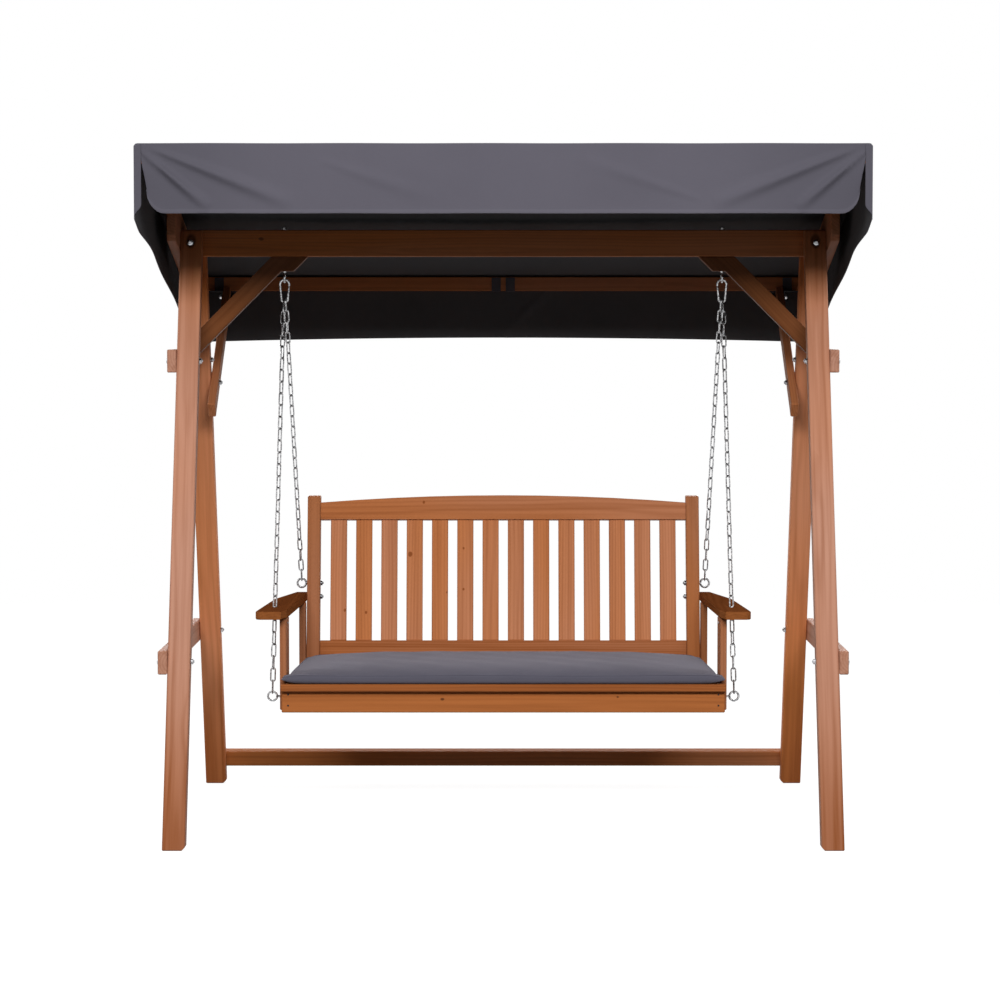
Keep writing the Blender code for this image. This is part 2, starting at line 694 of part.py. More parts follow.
def make_bracket(side, x_sign, knob_z, rail_front, rail_bottom):
    """A black angle plate: its foot is under the rear rail and its leg beside the strut."""
    foot_z = rail_bottom - CLEARANCE
    points = [
        (LEG_INNER, knob_z - BRACKET_WIDTH / 2),
        (LEG_INNER + BRACKET_WALL, knob_z - BRACKET_WIDTH / 2),
        (LEG_INNER + BRACKET_WALL, foot_z - BRACKET_WALL),
        (LEG_INNER + BRACKET_WIDTH, foot_z - BRACKET_WALL),
        (LEG_INNER + BRACKET_WIDTH, foot_z),
        (LEG_INNER, foot_z),
    ]
    points = [(x_sign * x, z) for x, z in points]
    width = BRACKET_WIDTH + CANOPY_RAIL_THICKNESS
    mesh = outline_mesh("canopy_bracket_" + side, points, width)
    thing = add_part("canopy_bracket_" + side, mesh, "black_fitting")
    thing.matrix_world = move(y=rail_front + CANOPY_RAIL_THICKNESS - width / 2) @ IN_XZ
    return thing


def make_knob(side, x_sign, y, z, things):
    """A hand knob whose stud clamps the strut to its bracket."""
    grip = STRUT_THICKNESS + CLEARANCE + BRACKET_WALL
    profile = [
        (0, KNOB_HEIGHT),
        (KNOB_RADIUS * 0.75, KNOB_HEIGHT),
        (KNOB_RADIUS, KNOB_HEIGHT * 0.7),
        (KNOB_RADIUS, KNOB_HEIGHT * 0.25),
        (KNOB_RADIUS * 0.6, CLEARANCE),
        (SHANK_RADIUS, CLEARANCE),
    ] + nut_profile(grip)
    name = "canopy_knob_" + side
    thing = add_part(name, turned_mesh(name, profile), "black_fitting")
    place = move(x_sign * (LEG_INNER - CLEARANCE - STRUT_THICKNESS), y, z) @ facing((-x_sign, 0, 0))
    thing.matrix_world = place
    drill(things, place, grip, name + "_hole", turns=True)


def below_rail(down):
    """How far down the free part of a valance a place is, from the rail's lower edge to the hem."""
    covered = (CANOPY_RAIL_HEIGHT + CANOPY_RAIL_THICKNESS * ROOF_FALL + 3 * CLOTH_BELOW) / FRONT_DROP
    return max(0.0, down - covered) / (1 - covered)


def hanging_fold(across, down):
    """How far a valance is drawn in at a place: soft folds that widen to its hem."""
    wave = 0.5 - 0.5 * math.cos(2 * math.pi * across / FOLD_LENGTH)
    return FOLD_DEPTH * below_rail(down) * wave


def skin(shape, rings):
    """Quads between neighbouring rows of points."""
    for low, high in zip(rings, rings[1:]):
        for i in range(len(low) - 1):
            shape.faces.new((low[i], low[i + 1], high[i + 1], high[i]))


def make_canopy_cover():
    """One cloth skin: a stretched roof and four valances with folds, slit at the corners."""
    half = CANOPY_HALF_WIDTH
    flap = half - CORNER_SLIT
    corner_shares = (0.0, 0.12, 0.36, 0.66, 1.0)
    edge_columns = [flap - CORNER_RADIUS * share for share in corner_shares]
    inner = edge_columns[-1]
    middle_count = 8
    middle = [-inner + 2 * inner * i / middle_count for i in range(1, middle_count)]
    columns = [-half] + [-x for x in edge_columns] + middle + edge_columns[::-1] + [half]
    row_count = 8
    depth = CANOPY_REAR_Y - CANOPY_FRONT_Y
    rest = CLOTH_BELOW + CANOPY_RAIL_THICKNESS + TENON
    free = depth - 2 * rest
    rows = [CANOPY_FRONT_Y + rest + free * i / row_count for i in range(row_count + 1)]
    rows = [CANOPY_FRONT_Y] + rows + [CANOPY_REAR_Y]
    drop_shares = (0.33, 0.52, 0.76, 1.0)
    shape = bmesh.new()

    def sag(x, y):
        across = 1 - min(1.0, abs(x) / OUTER_PLANE) ** 2
        along = math.sin(math.pi * (y - CANOPY_FRONT_Y - rest) / free)
        return ROOF_SAG * across * max(0.0, along)

    roof = [[shape.verts.new((x, y, roof_z(y) - sag(x, y))) for x in columns] for y in rows]
    skin(shape, roof)

    def hang(top, drop, inward):
        rings = [top]
        for share in drop_shares:
            ring = []
            for vert in top:
                x, y, z = vert.co
                dx, dy = inward(x, y, share)
                ring.append(shape.verts.new((x + dx, y + dy, z - drop(x) * share)))
            rings.append(ring)
        skin(shape, rings)

    def rounded(x):
        over = max(0.0, abs(x) - (flap - CORNER_RADIUS))
        return CORNER_RADIUS - math.sqrt(max(0.0, CORNER_RADIUS**2 - over**2))

    def front_drop(x):
        return FRONT_DROP - rounded(x)

    def rear_drop(x):
        return REAR_DROP + REAR_CORNER_DROP * (x / flap) ** 2 - rounded(x)

    def side_drop(x):
        return SIDE_DROP

    def side_inward(x, y, share):
        return -math.copysign(SIDE_LEAN, x) * below_rail(share) * (y - CANOPY_FRONT_Y) / depth, 0

    hang(roof[0][1:-1], front_drop, lambda x, y, share: (0, hanging_fold(x, share)))
    hang(roof[-1][1:-1], rear_drop, lambda x, y, share: (0, -hanging_fold(x, share)))
    hang([row[0] for row in roof], side_drop, side_inward)
    hang([row[-1] for row in roof], side_drop, side_inward)
    bmesh.ops.recalc_face_normals(shape, faces=shape.faces)
    if max(shape.faces, key=lambda face: face.calc_center_median().z).normal.z < 0:
        bmesh.ops.reverse_faces(shape, faces=shape.faces)
    mesh = bpy.data.meshes.new("canopy_cover")
    shape.to_mesh(mesh)
    shape.free()
    cover = add_part("canopy_cover", mesh, "canopy_cloth")
    wall = cover.modifiers.new("cloth", "SOLIDIFY")
    wall.thickness = CLOTH
    wall.offset = -1
    wall.use_even_offset = True
    mesh.shade_smooth()


def snap_side(z):
    """Half the width of the snap hook's wire at a height, on its straight sides."""
    top_z = SNAP_TOP_Z - SNAP_TOP_RADIUS
    low_z = SNAP_FOOT_Z + SNAP_FOOT_RADIUS
    share = (z - low_z) / (top_z - low_z)
    return SNAP_FOOT_HALF + (SNAP_TOP_RADIUS - SNAP_FOOT_HALF) * share


def arc(centre_x, centre_z, radius, start, stop, count):
    """Points along an arc in X and Z."""
    angles = [math.radians(start + (stop - start) * i / count) for i in range(count + 1)]
    return [(centre_x + radius * math.cos(a), centre_z + radius * math.sin(a)) for a in angles]


def make_snap_hook(side, x_sign):
    """A bent wire hook, wide above and narrow below, open on its inner side for the gate."""
    top_z = SNAP_TOP_Z - SNAP_TOP_RADIUS
    low_z = SNAP_FOOT_Z + SNAP_FOOT_RADIUS
    gate_low = SNAP_FOOT_Z + GATE_START
    gate_high = gate_low + GATE_LENGTH
    corner = SNAP_FOOT_HALF - SNAP_FOOT_RADIUS
    end_low = gate_low - GATE_GAP
    end_high = gate_high + GATE_GAP
    route = [(-snap_side(end_low), end_low)]
    route += arc(-corner, low_z, SNAP_FOOT_RADIUS, 180, 270, 3)
    route += arc(corner, low_z, SNAP_FOOT_RADIUS, 270, 360, 3)
    route += arc(0, top_z, SNAP_TOP_RADIUS, 0, 180, 8)
    route += [(-snap_side(end_high), end_high)]
    curve = bpy.data.curves.new("snap_hook_" + side, "CURVE")
    curve.dimensions = "3D"
    curve.bevel_depth = SNAP_WIRE
    curve.bevel_resolution = 1
    curve.use_fill_caps = True
    spline = curve.splines.new("POLY")
    spline.points.add(len(route) - 1)
    for point, (x, z) in zip(spline.points, route):
        point.co = (x_sign * x, 0.0, z, 1.0)
    mesh = taken_mesh(helper_object("snap_hook_wire", curve))
    smooth(mesh)
    thing = add_part("snap_hook_" + side, mesh, "zinc_steel")
    thing.matrix_world = move(x=x_sign * HOOK_X)
    low_x, high_x = -snap_side(gate_low), -snap_side(gate_high)
    way = Vector((x_sign * (high_x - low_x), 0, GATE_LENGTH))
    length = way.length
    profile = [
        (0, length),
        (GATE_TIP, length),
        (GATE_RADIUS, length - GATE_TAPER),
        (GATE_RADIUS, GATE_TAPER),
        (GATE_TIP, 0),
        (0, 0),
    ]
    name = "snap_gate_" + side
    gate = add_part(name, turned_mesh(name, profile), "zinc_steel")
    gate.matrix_world = move(x_sign * (HOOK_X + low_x), 0, gate_low) @ facing(way)
    return [thing, gate]


def link_mesh(inner_length):
    """One welded link: a torus drawn apart along its length, which is local Z."""
    outward = 1 / math.cos(math.pi / LINK_STEPS)
    mesh = torus_mesh(CHAIN_RADIUS * outward, CHAIN_WIRE * outward, LINK_STEPS, LINK_SIDES)
    mesh.transform(Matrix.Rotation(math.pi / LINK_STEPS, 4, "Z"))
    mesh.transform(Matrix.Rotation(math.pi / 2, 4, "X"))
    draw = inner_length / 2 + CHAIN_WIRE - CHAIN_RADIUS
    for vert in mesh.vertices:
        vert.co.z += math.copysign(draw, vert.co.z)
    return mesh


def make_chain(name, start, end, count):
    """A chain in tension between two wires, its links turned a quarter each time."""
    line = Vector(end) - Vector(start)
    along = line.normalized()
    slack = 2 * (EYE_WIRE + CLEARANCE) - (count - 1) * CHAIN_BITE
    inner = (line.length + slack) / count
    link = link_mesh(inner)
    in_plane = Vector((1, 0, 0)).cross(along).normalized()
    across = along.cross(in_plane)
    shapes = (bmesh.new(), bmesh.new())
    first = inner / 2 - EYE_WIRE - CLEARANCE
    for i in range(count):
        centre = Vector(start) + along * (first + i * (inner + CHAIN_BITE))
        width = in_plane if i % 2 == 0 else across
        turn = Matrix((width, along.cross(width), along)).transposed().to_4x4()
        copy = link.copy()
        copy.transform(Matrix.Translation(centre) @ turn)
        shapes[i % 2].from_mesh(copy)
        bpy.data.meshes.remove(copy)
    meshes = []
    for i, shape in enumerate(shapes):
        mesh = bpy.data.meshes.new("%s_links_%d" % (name, i))
        bmesh.ops.recalc_face_normals(shape, faces=shape.faces)
        shape.to_mesh(mesh)
        shape.free()
        meshes.append(mesh)
    chain = add_part(name, meshes[0], "zinc_steel")
    combine(chain, add_tool(name + "_turned_links", meshes[1]), "UNION")
    return chain


def side_frame(x_sign):
    """The place of a seat side: its local X runs outwards on the right and Y back along the rail."""
    return move(x_sign * SEAT_RAIL_OUTER, SIDE_START_Y) @ Matrix.Rotation(x_sign * TOE_IN, 4, "Z")


def rail_outer_x(y):
    """How far out the seat rails' outer faces are at a distance back."""
    return SEAT_RAIL_OUTER - (y - SIDE_START_Y) * math.tan(TOE_IN)


def back_face_y(z):
    """The front face of the back posts at a height."""
    return BACK_FACE_Y + (z - BACK_DATUM_Z) * math.tan(BACK_LEAN)


def make_seat_frame():
    """Two side rails and the rear rail between them, glued into one frame."""
    bottom = SEAT_RAIL_TOP - SEAT_RAIL_HEIGHT
    wedge = SEAT_RAIL_THICKNESS * math.sin(TOE_IN)
    outline = [
        (0, bottom),
        (back_face_y(bottom) - SIDE_START_Y - CLEARANCE - wedge, bottom),
        (back_face_y(SEAT_RAIL_TOP) - SIDE_START_Y - CLEARANCE - wedge, SEAT_RAIL_TOP),
        (0, SEAT_RAIL_TOP),
    ]
    rails = {}
    for side, x_sign in sides():
        mesh = outline_mesh("seat_side_rail_" + side, outline, SEAT_RAIL_THICKNESS)
        place = side_frame(x_sign) @ move(x=-x_sign * SEAT_RAIL_THICKNESS / 2, y=wedge) @ IN_YZ
        rails[side] = (mesh, place)
    frame = add_part("seat_frame", rails["left"][0], "bench_timber")
    frame.matrix_world = rails["left"][1]
    ease_edges(frame)
    other = add_tool("seat_side_rail_other", rails["right"][0])
    other.matrix_world = rails["right"][1]
    ease_edges(other)
    y = BACK_FACE_Y - REAR_RAIL_SETBACK - SEAT_RAIL_THICKNESS / 2
    half = rail_outer_x(y) - SEAT_RAIL_THICKNESS + TENON
    size = (2 * half, SEAT_RAIL_THICKNESS, SEAT_RAIL_HEIGHT - 2 * TIMBER_EDGE)
    cross = add_tool("seat_rear_rail", boxes_mesh("seat_rear_rail", [(size, (0, 0, 0))]))
    cross.location = (0, y, SEAT_RAIL_TOP - SEAT_RAIL_HEIGHT / 2)
    combine(frame, cross, "UNION")
    combine(frame, other, "UNION")
    return frame


def make_apron():
    """The board across the front of the seat, and the longer first slat glued on its top edge."""
    top = SLAT_BOTTOM + GLUE_OVERLAP
    y = APRON_BACK_Y - APRON_THICKNESS / 2
    size = (2 * (SEAT_RAIL_OUTER + APRON_OVERHANG), APRON_THICKNESS, APRON_HEIGHT)
    apron = board("seat_apron", size, (0, y, top - APRON_HEIGHT / 2), "bench_timber")
    slat_size = (2 * NOSING_HALF, NOSING_DEPTH, SLAT_THICKNESS)
    slat = add_tool("seat_front_slat", boxes_mesh("seat_front_slat", [(slat_size, (0, 0, 0))]))
    slat.location = (0, SEAT_FRONT_Y + NOSING_DEPTH / 2, SEAT_TOP - SLAT_THICKNESS / 2)
    ease_edges(slat)
    combine(apron, slat, "UNION")
    return apron


def make_deck():
    """The seat slats behind the first, glued to the two battens under them."""
    z = SEAT_TOP - SLAT_THICKNESS / 2
    boxes = []
    y = SEAT_FRONT_Y + NOSING_DEPTH + SEAT_SLAT_GAP
    for _ in range(SEAT_SLATS):
        half = rail_outer_x(y + SEAT_SLAT_DEPTH)
        boxes.append(((2 * half, SEAT_SLAT_DEPTH, SLAT_THICKNESS), (0, y + SEAT_SLAT_DEPTH / 2, z)))
        y += SEAT_SLAT_DEPTH + SEAT_SLAT_GAP
    deck = add_part("seat_deck", boxes_mesh("seat_deck", boxes), "bench_timber")
    ease_edges(deck)
    rear = BACK_FACE_Y - REAR_RAIL_SETBACK - SEAT_RAIL_THICKNESS - CLEARANCE
    size = (BATTEN_WIDTH, rear - SIDE_START_Y, BATTEN_HEIGHT)
    y = (rear + SIDE_START_Y) / 2
    z = SLAT_BOTTOM + GLUE_OVERLAP - BATTEN_HEIGHT / 2
    battens = [(size, (-BATTEN_X, y, z)), (size, (BATTEN_X, y, z))]
    combine(deck, add_tool("deck_battens", boxes_mesh("deck_battens", battens)), "UNION")
    return deck


def arm_outline(x_sign):
    """The armrest in plan: a paddle in front, a waist and a narrow tail beside the post."""
    front = SEAT_FRONT_Y - ARM_FRONT_REACH
    tail = back_face_y(ARM_BOTTOM) + ARM_TAIL_LENGTH
    inner_tail = BACK_OUTER + CLEARANCE
    length = tail - front
    waist = SEAT_RAIL_OUTER + ARM_WAIST_OVERHANG
    paddle = SEAT_RAIL_OUTER + ARM_PADDLE_OVERHANG
    points = [
        (SEAT_RAIL_OUTER + ARM_INNER_OVERHANG, front),
        (paddle - TENON, front),
        (paddle, front + TENON),
        (waist + (paddle - waist) * ARM_MIDDLE_WIDTH_SHARE, front + length * ARM_MIDDLE_SHARE),
        (waist, front + length * ARM_WAIST_SHARE),
        (BACK_OUTER + ARM_TAIL_WIDTH, tail),
        (inner_tail, tail),
        (inner_tail, back_face_y(ARM_BOTTOM) - TENON),
        (SEAT_RAIL_OUTER - OVERRUN, front + length * ARM_POST_SHARE),
    ]
    return [(x_sign * x, y) for x, y in points]


def make_arms():
    """Armrests, the front posts that carry the front eyes, and the rear posts."""
    bottom = SEAT_RAIL_TOP - SEAT_RAIL_HEIGHT + POST_SKIRT
    height = ARM_BOTTOM - CLEARANCE - bottom
    lead = ARM_POST_THICKNESS * math.sin(TOE_IN)
    posts, pieces = {}, []
    for side, x_sign in sides():
        size = (ARM_POST_THICKNESS, FRONT_POST_DEPTH, height)
        out = x_sign * (CLEARANCE + ARM_POST_THICKNESS / 2)
        centre = side_frame(x_sign) @ Vector((out, FRONT_POST_DEPTH / 2 + lead, bottom + height / 2))
        turn = (0, 0, x_sign * TOE_IN)
        front = board("front_arm_post_" + side, size, centre, "bench_timber", turn)
        x = x_sign * (BACK_OUTER + CLEARANCE + ARM_POST_THICKNESS / 2)
        rear_size = (ARM_POST_THICKNESS, REAR_POST_DEPTH, height)
        rear_centre = (x, REAR_POST_Y + REAR_POST_DEPTH / 2, bottom + height / 2)
        rear = board("rear_arm_post_" + side, rear_size, rear_centre, "bench_timber")
        middle = move(z=ARM_TOP - ARM_THICKNESS / 2)
        arm = plate("armrest_" + side, arm_outline(x_sign), ARM_THICKNESS, middle, IN_XY, "bench_timber")
        posts[side] = (front, arm)
        pieces += [front, rear, arm]
    return posts, pieces


def make_back_posts():
    """Two leaning posts that run down beside the seat frame."""
    bottom = SEAT_RAIL_TOP - SEAT_RAIL_HEIGHT
    flat = BACK_POST_DEPTH / math.cos(BACK_LEAN)
    outline = [
        (back_face_y(bottom), bottom),
        (back_face_y(bottom) + flat, bottom),
        (back_face_y(BACK_POST_TOP) + flat, BACK_POST_TOP),
        (back_face_y(BACK_POST_TOP), BACK_POST_TOP),
    ]
    posts = {}
    for side, x_sign in sides():
        place = move(x=x_sign * (BACK_OUTER - BACK_POST_WIDTH / 2))
        posts[side] = plate("back_post_" + side, outline, BACK_POST_WIDTH, place, IN_YZ, "bench_timber")
    return posts


def make_back_panel():
    """An arched top rail, a bottom rail and the slats let into both, glued as one panel."""
    half = BACK_HALF
    up = 1 / math.cos(BACK_LEAN)
    low = (BOTTOM_RAIL_TOP - BOTTOM_RAIL_HEIGHT - BACK_DATUM_Z) * up
    high = (BOTTOM_RAIL_TOP - BACK_DATUM_Z) * up
    rail_low = (TOP_RAIL_BOTTOM - BACK_DATUM_Z) * up
    rail_end = (TOP_RAIL_END - BACK_DATUM_Z) * up
    crown = (TOP_RAIL_CROWN - BACK_DATUM_Z) * up
    arch_steps = 10
    arch = [half - 2 * half * i / arch_steps for i in range(arch_steps + 1)]
    points = [(-half, rail_low), (half, rail_low)]
    points += [(x, rail_end + (crown - rail_end) * (1 - (x / half) ** 2)) for x in arch]
    lean = Matrix.Rotation(-BACK_LEAN, 4, "X")
    place = move(y=BACK_FACE_Y, z=BACK_DATUM_Z) @ lean @ move(y=BACK_RAIL_SETBACK + BACK_RAIL_THICKNESS / 2)
    panel = plate("back_panel", points, BACK_RAIL_THICKNESS, place, IN_XZ, "bench_timber")
    size = (2 * half, BACK_RAIL_THICKNESS, high - low)
    rail = add_tool("back_bottom_rail", boxes_mesh("back_bottom_rail", [(size, (0, 0, (high + low) / 2))]))
    first = -BACK_SLAT_PITCH * (BACK_SLATS - 1) / 2
    slat_low, slat_high = high - TENON, rail_low + TENON
    slat = (BACK_SLAT_WIDTH, BACK_SLAT_THICKNESS, slat_high - slat_low)
    centres = [(first + BACK_SLAT_PITCH * i, 0, (slat_low + slat_high) / 2) for i in range(BACK_SLATS)]
    slats = add_tool("back_slats", boxes_mesh("back_slats", [(slat, centre) for centre in centres]))
    for tool in (rail, slats):
        ease_edges(tool)
        tool.matrix_world = place
        combine(panel, tool, "UNION")
    return panel


def make_cushion():
    """One thin pad: crowned top, drawn-in sides, notched behind the front posts."""
    depth_shares = (0.0, 0.030, 0.058, 0.068, 0.25, 0.46, 0.66, 0.84, 0.96, 1.0)
    cells = len(depth_shares) - 1
    shape = bmesh.new()
    bmesh.ops.create_cube(shape, size=2.0)
    bmesh.ops.subdivide_edges(shape, edges=shape.edges[:], cuts=cells - 1, use_grid_fill=True)
    front = SEAT_FRONT_Y + OVERRUN
    rear = back_face_y(SEAT_TOP) - CUSHION_SIDE_GAP
    floor = SEAT_TOP + CLEARANCE
    for vert in shape.verts:
        a, b, c = vert.co
        share = depth_shares[round((b + 1) / 2 * cells)]
        along = 2 * share - 1
        y = front + (rear - front) * share
        ahead = y < SIDE_START_Y - CUSHION_SIDE_GAP
        half = NOSING_HALF - OVERRUN if ahead else rail_outer_x(y) - CUSHION_SIDE_GAP
        rounding = CUSHION_ROUNDING * c * c
        waist = CUSHION_DRAW_IN * (1 - c * c)
        x = a * (half - rounding - waist * (1 - along**4))
        y -= along * rounding * along**4
        lift = CUSHION_CROWN * (1 - abs(a) ** 5) * (1 - abs(along) ** 5) * max(0.0, c)
        vert.co = (x, y, floor + CUSHION_EDGE_HEIGHT * (1 + c) / 2 + lift)
    mesh = bpy.data.meshes.new("seat_cushion")
    shape.to_mesh(mesh)
    shape.free()
    cushion = add_part("seat_cushion", mesh, "cushion_cloth")
    mesh.shade_smooth()
    return cushion


def hang_seat(frame, posts, back_posts, x_sign, side):
    """The eyes on one side of the seat, and the two chains up to their hook."""
    front_post, arm = posts[side]
    place = side_frame(x_sign)
    normal = (place.to_3x3() @ Vector((x_sign, 0, 0))).normalized()
    out = x_sign * (CLEARANCE + ARM_POST_THICKNESS)
    local_y = FRONT_POST_DEPTH / 2 + ARM_POST_THICKNESS * math.sin(TOE_IN)
    seat = place @ Vector((out, local_y, SEAT_EYE_Z))
    grip = ARM_POST_THICKNESS + CLEARANCE + SEAT_RAIL_THICKNESS
    things = [front_post, frame]
    made = [
        eye_bolt("seat_eye_bolt_front_" + side, things, seat, -normal, grip, SEAT_EYE_RADIUS, FRONT_EYE_REACH)
    ]
    rear_y = back_face_y(REAR_EYE_Z) + BACK_POST_DEPTH / math.cos(BACK_LEAN) / 2
    rear_seat = Vector((x_sign * BACK_OUTER, rear_y, REAR_EYE_Z))
    inward = (-x_sign, 0, 0)
    things = [back_posts[side]]
    made.append(
        eye_bolt(
            "seat_eye_bolt_rear_" + side,
            things,
            rear_seat,
            inward,
            BACK_POST_WIDTH,
            SEAT_EYE_RADIUS,
            REAR_EYE_REACH,
        )
    )
    top = Vector((x_sign * HOOK_X, 0, SNAP_FOOT_Z))
    apart = Vector((x_sign * FIRST_LINK_APART, 0, 0))
    ring_top = Vector((0, 0, SEAT_EYE_RADIUS * math.cos(math.pi / RING_STEPS)))
    front_end = seat + normal * FRONT_EYE_REACH + ring_top
    rear_end = rear_seat + Vector((x_sign * REAR_EYE_REACH, 0, 0)) + ring_top
    made.append(make_chain("chain_front_" + side, top + apart, front_end, FRONT_LINKS))
    made.append(make_chain("chain_rear_" + side, top - apart, rear_end, REAR_LINKS))
    share = (ARM_TOP - ARM_THICKNESS / 2 - top.z) / (front_end.z - top.z)
    hole = top + apart + (front_end - top - apart) * share
    profile = [
        (0, ARM_THICKNESS),
        (CHAIN_HOLE_RADIUS, ARM_THICKNESS),
        (CHAIN_HOLE_RADIUS, -ARM_THICKNESS),
        (0, -ARM_THICKNESS),
    ]
    tool = add_tool("chain_hole_" + side, turned_mesh("chain_hole", profile, RING_STEPS))
    tool.matrix_world = Matrix.Translation(hole)
    combine(arm, tool, "DIFFERENCE")
    return made


def hang_on(pivot, things):
    """Parents the hanging pieces to the empty on the swing axis, each staying in its place."""
    for thing in things:
        thing.parent = pivot
        thing.matrix_parent_inverse = Matrix.Translation(-pivot.location)


def make_bench():
    """Builds the whole bench in the order in which it is put together."""
    clear_scene()
    new_collection("parts", "canopy_swing_bench")
    new_collection("cutters", "cutters")
    make_materials()
    legs = make_legs()
    make_side_rails(legs)
    beam = make_beam(legs)
    braces = {side: make_brace(side, x_sign) for side, x_sign in sides()}
    make_hooks(beam, braces)
    make_stretcher()
    make_canopy_frame()
    make_canopy_cover()
    pivot = bpy.data.objects.new("swing_axis", None)
    pivot.location = (0, 0, SNAP_TOP_Z)
    GROUPS["parts"].objects.link(pivot)
    frame = make_seat_frame()
    posts, arm_pieces = make_arms()
    back_posts = make_back_posts()
    hanging = [frame, make_apron(), make_deck(), make_back_panel(), make_cushion()]
    hanging += arm_pieces
    hanging += back_posts.values()
    for side, x_sign in sides():
        hanging += make_snap_hook(side, x_sign)
        hanging += hang_seat(frame, posts, back_posts, x_sign, side)
    hang_on(pivot, hanging)


make_bench()
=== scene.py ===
"""The looks of a canopy swing bench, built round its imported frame, in metres."""

import math

import bmesh
import bpy
import numpy as np
from mathutils import Matrix, Vector


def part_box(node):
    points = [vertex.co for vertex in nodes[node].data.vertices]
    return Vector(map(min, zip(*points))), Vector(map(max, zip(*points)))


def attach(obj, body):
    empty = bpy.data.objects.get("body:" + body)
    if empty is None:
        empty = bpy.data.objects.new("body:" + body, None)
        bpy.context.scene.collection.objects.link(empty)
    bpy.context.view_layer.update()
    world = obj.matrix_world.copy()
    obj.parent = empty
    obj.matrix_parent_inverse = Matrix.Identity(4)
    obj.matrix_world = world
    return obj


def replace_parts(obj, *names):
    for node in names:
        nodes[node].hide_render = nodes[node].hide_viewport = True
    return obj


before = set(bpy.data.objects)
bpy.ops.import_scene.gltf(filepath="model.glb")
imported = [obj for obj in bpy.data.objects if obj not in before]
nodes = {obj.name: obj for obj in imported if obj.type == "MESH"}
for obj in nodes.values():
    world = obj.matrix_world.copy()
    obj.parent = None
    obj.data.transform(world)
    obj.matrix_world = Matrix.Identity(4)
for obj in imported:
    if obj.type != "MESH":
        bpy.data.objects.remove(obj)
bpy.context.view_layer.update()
SIDES = (("left", -1), ("right", 1))


# Legs. Each side stands on two softwood posts that lean together, planed, oiled red-brown and
# bolted to the beam. The grain runs up the lean, with a few small knots.

LEG_LEAN = math.radians(18.9)
LEG_X, LEG_MIDDLE_Y, LEG_MIDDLE_Z = 0.866, 0.33, 0.82
BOLT_SEAT = (0.831, 0, 0.0175)
PALE_OIL = (0.570, 0.302, 0.214)
WARM_OIL = (0.520, 0.172, 0.049)
DEEP_OIL = (0.250, 0.072, 0.020)
KNOT_BROWN = (0.085, 0.028, 0.012)
RING_SPACING = 0.0078
KNOT_CELLS = (3.1, 8.5, 8.5)
# The front legs' paler, pinker tone is partly painted sheen: the lamp's sheen on their leaning
# front faces, put into the colour.
FRONT_LEG_TONE, REAR_LEG_TONE = {"pink": 0.78, "shade": 0.96}, {"pink": 0.34, "shade": 1.40}


class Wire:
    """An output socket: the operators on it add Math nodes, and node() adds any other kind."""

    def __init__(self, tree, output=None):
        self.tree = tree
        self.output = output

    def node(self, kind, settings=None, inputs=None, take=0):
        """A node of a kind, its settings first and then the values or links of its sockets."""
        made = self.tree.nodes.new("ShaderNode" + kind)
        for key, value in (settings or {}).items():
            setattr(made, key, value)
        for key, value in (inputs or {}).items():
            if isinstance(value, Wire):
                self.tree.links.new(value.output, made.inputs[key])
            else:
                made.inputs[key].default_value = value
        return Wire(self.tree, made.outputs[take])

    def math(self, operation, *values):
        """A Math node on this wire and others."""
        return self.node("Math", {"operation": operation}, dict(enumerate((self,) + values)))

    def __add__(self, other):
        return self.math("ADD", other)

    __radd__ = __add__

    def __sub__(self, other):
        return self.math("SUBTRACT", other)

    def __rsub__(self, other):
        return self.node("Math", {"operation": "SUBTRACT"}, {0: other, 1: self})

    def __mul__(self, other):
        return self.math("MULTIPLY", other)

    __rmul__ = __mul__

    def __pow__(self, other):
        return self.math("POWER", other)

    def rise(self, low, high):
        """0 below low, 1 above high and smooth between; falling where low is above high."""
        settings = {"interpolation_type": "SMOOTHSTEP"}
        if low < high:
            return self.node("MapRange", settings, {0: self, 1: low, 2: high})
        return 1 - self.node("MapRange", settings, {0: self, 1: high, 2: low})

    def mix(self, first, second):
        """Two colours mixed by this wire, 0 for the first."""
        full = [c if isinstance(c, Wire) else (*c, 1) for c in (first, second)]
        return self.node("Mix", {"data_type": "RGBA"}, {0: self, 6: full[0], 7: full[1]}, 2)

    def noise(self, stretch, detail=2.0, rough=0.5):
        """Noise on this place, with so many waves to the metre each way."""
        place = self.node("VectorMath", {"operation": "MULTIPLY"}, {0: self, 1: stretch})
        sockets = {"Vector": place, "Scale": 1, "Detail": detail, "Roughness": rough}
        return self.node("TexNoise", None, sockets)

    def bump(self, strength, distance):
        """This wire as a relief of a depth in metres, for a shader's Normal."""
        sockets = {"Strength": strength, "Distance": distance, "Height": self}
        return self.node("Bump", None, sockets)

    def apart(self):
        """The three numbers of a place."""
        return [self.node("SeparateXYZ", None, {0: self}, i) for i in range(3)]


def finish(name, look):
    """A material whose shader takes what look(start) returns for its sockets."""
    made = bpy.data.materials.new(name)
    made.use_nodes = True
    shader = made.node_tree.nodes["Principled BSDF"]
    for key, value in look(Wire(made.node_tree)).items():
        if isinstance(value, Wire):
            made.node_tree.links.new(value.output, shader.inputs[key])
        else:
            shader.inputs[key].default_value = value
    return made


def place_in(start):
    """The place on the piece, in its own coordinates."""
    return start.node("TexCoord", take=3)


def board_grain(along, middle=(0, 0, 0), across=(1, 0, 0)):
    """Places in a board's own frame: X along its grain, measured from its middle."""
    first = Vector(along).normalized()
    third = first.cross(Vector(across)).normalized()
    turn = Matrix((first, third.cross(first), third)).transposed().to_euler()
    sockets = {"Location": middle, "Rotation": turn}
    return lambda place: place.node(
        "Mapping", {"vector_type": "TEXTURE"}, {"Vector": place, **sockets}
    )


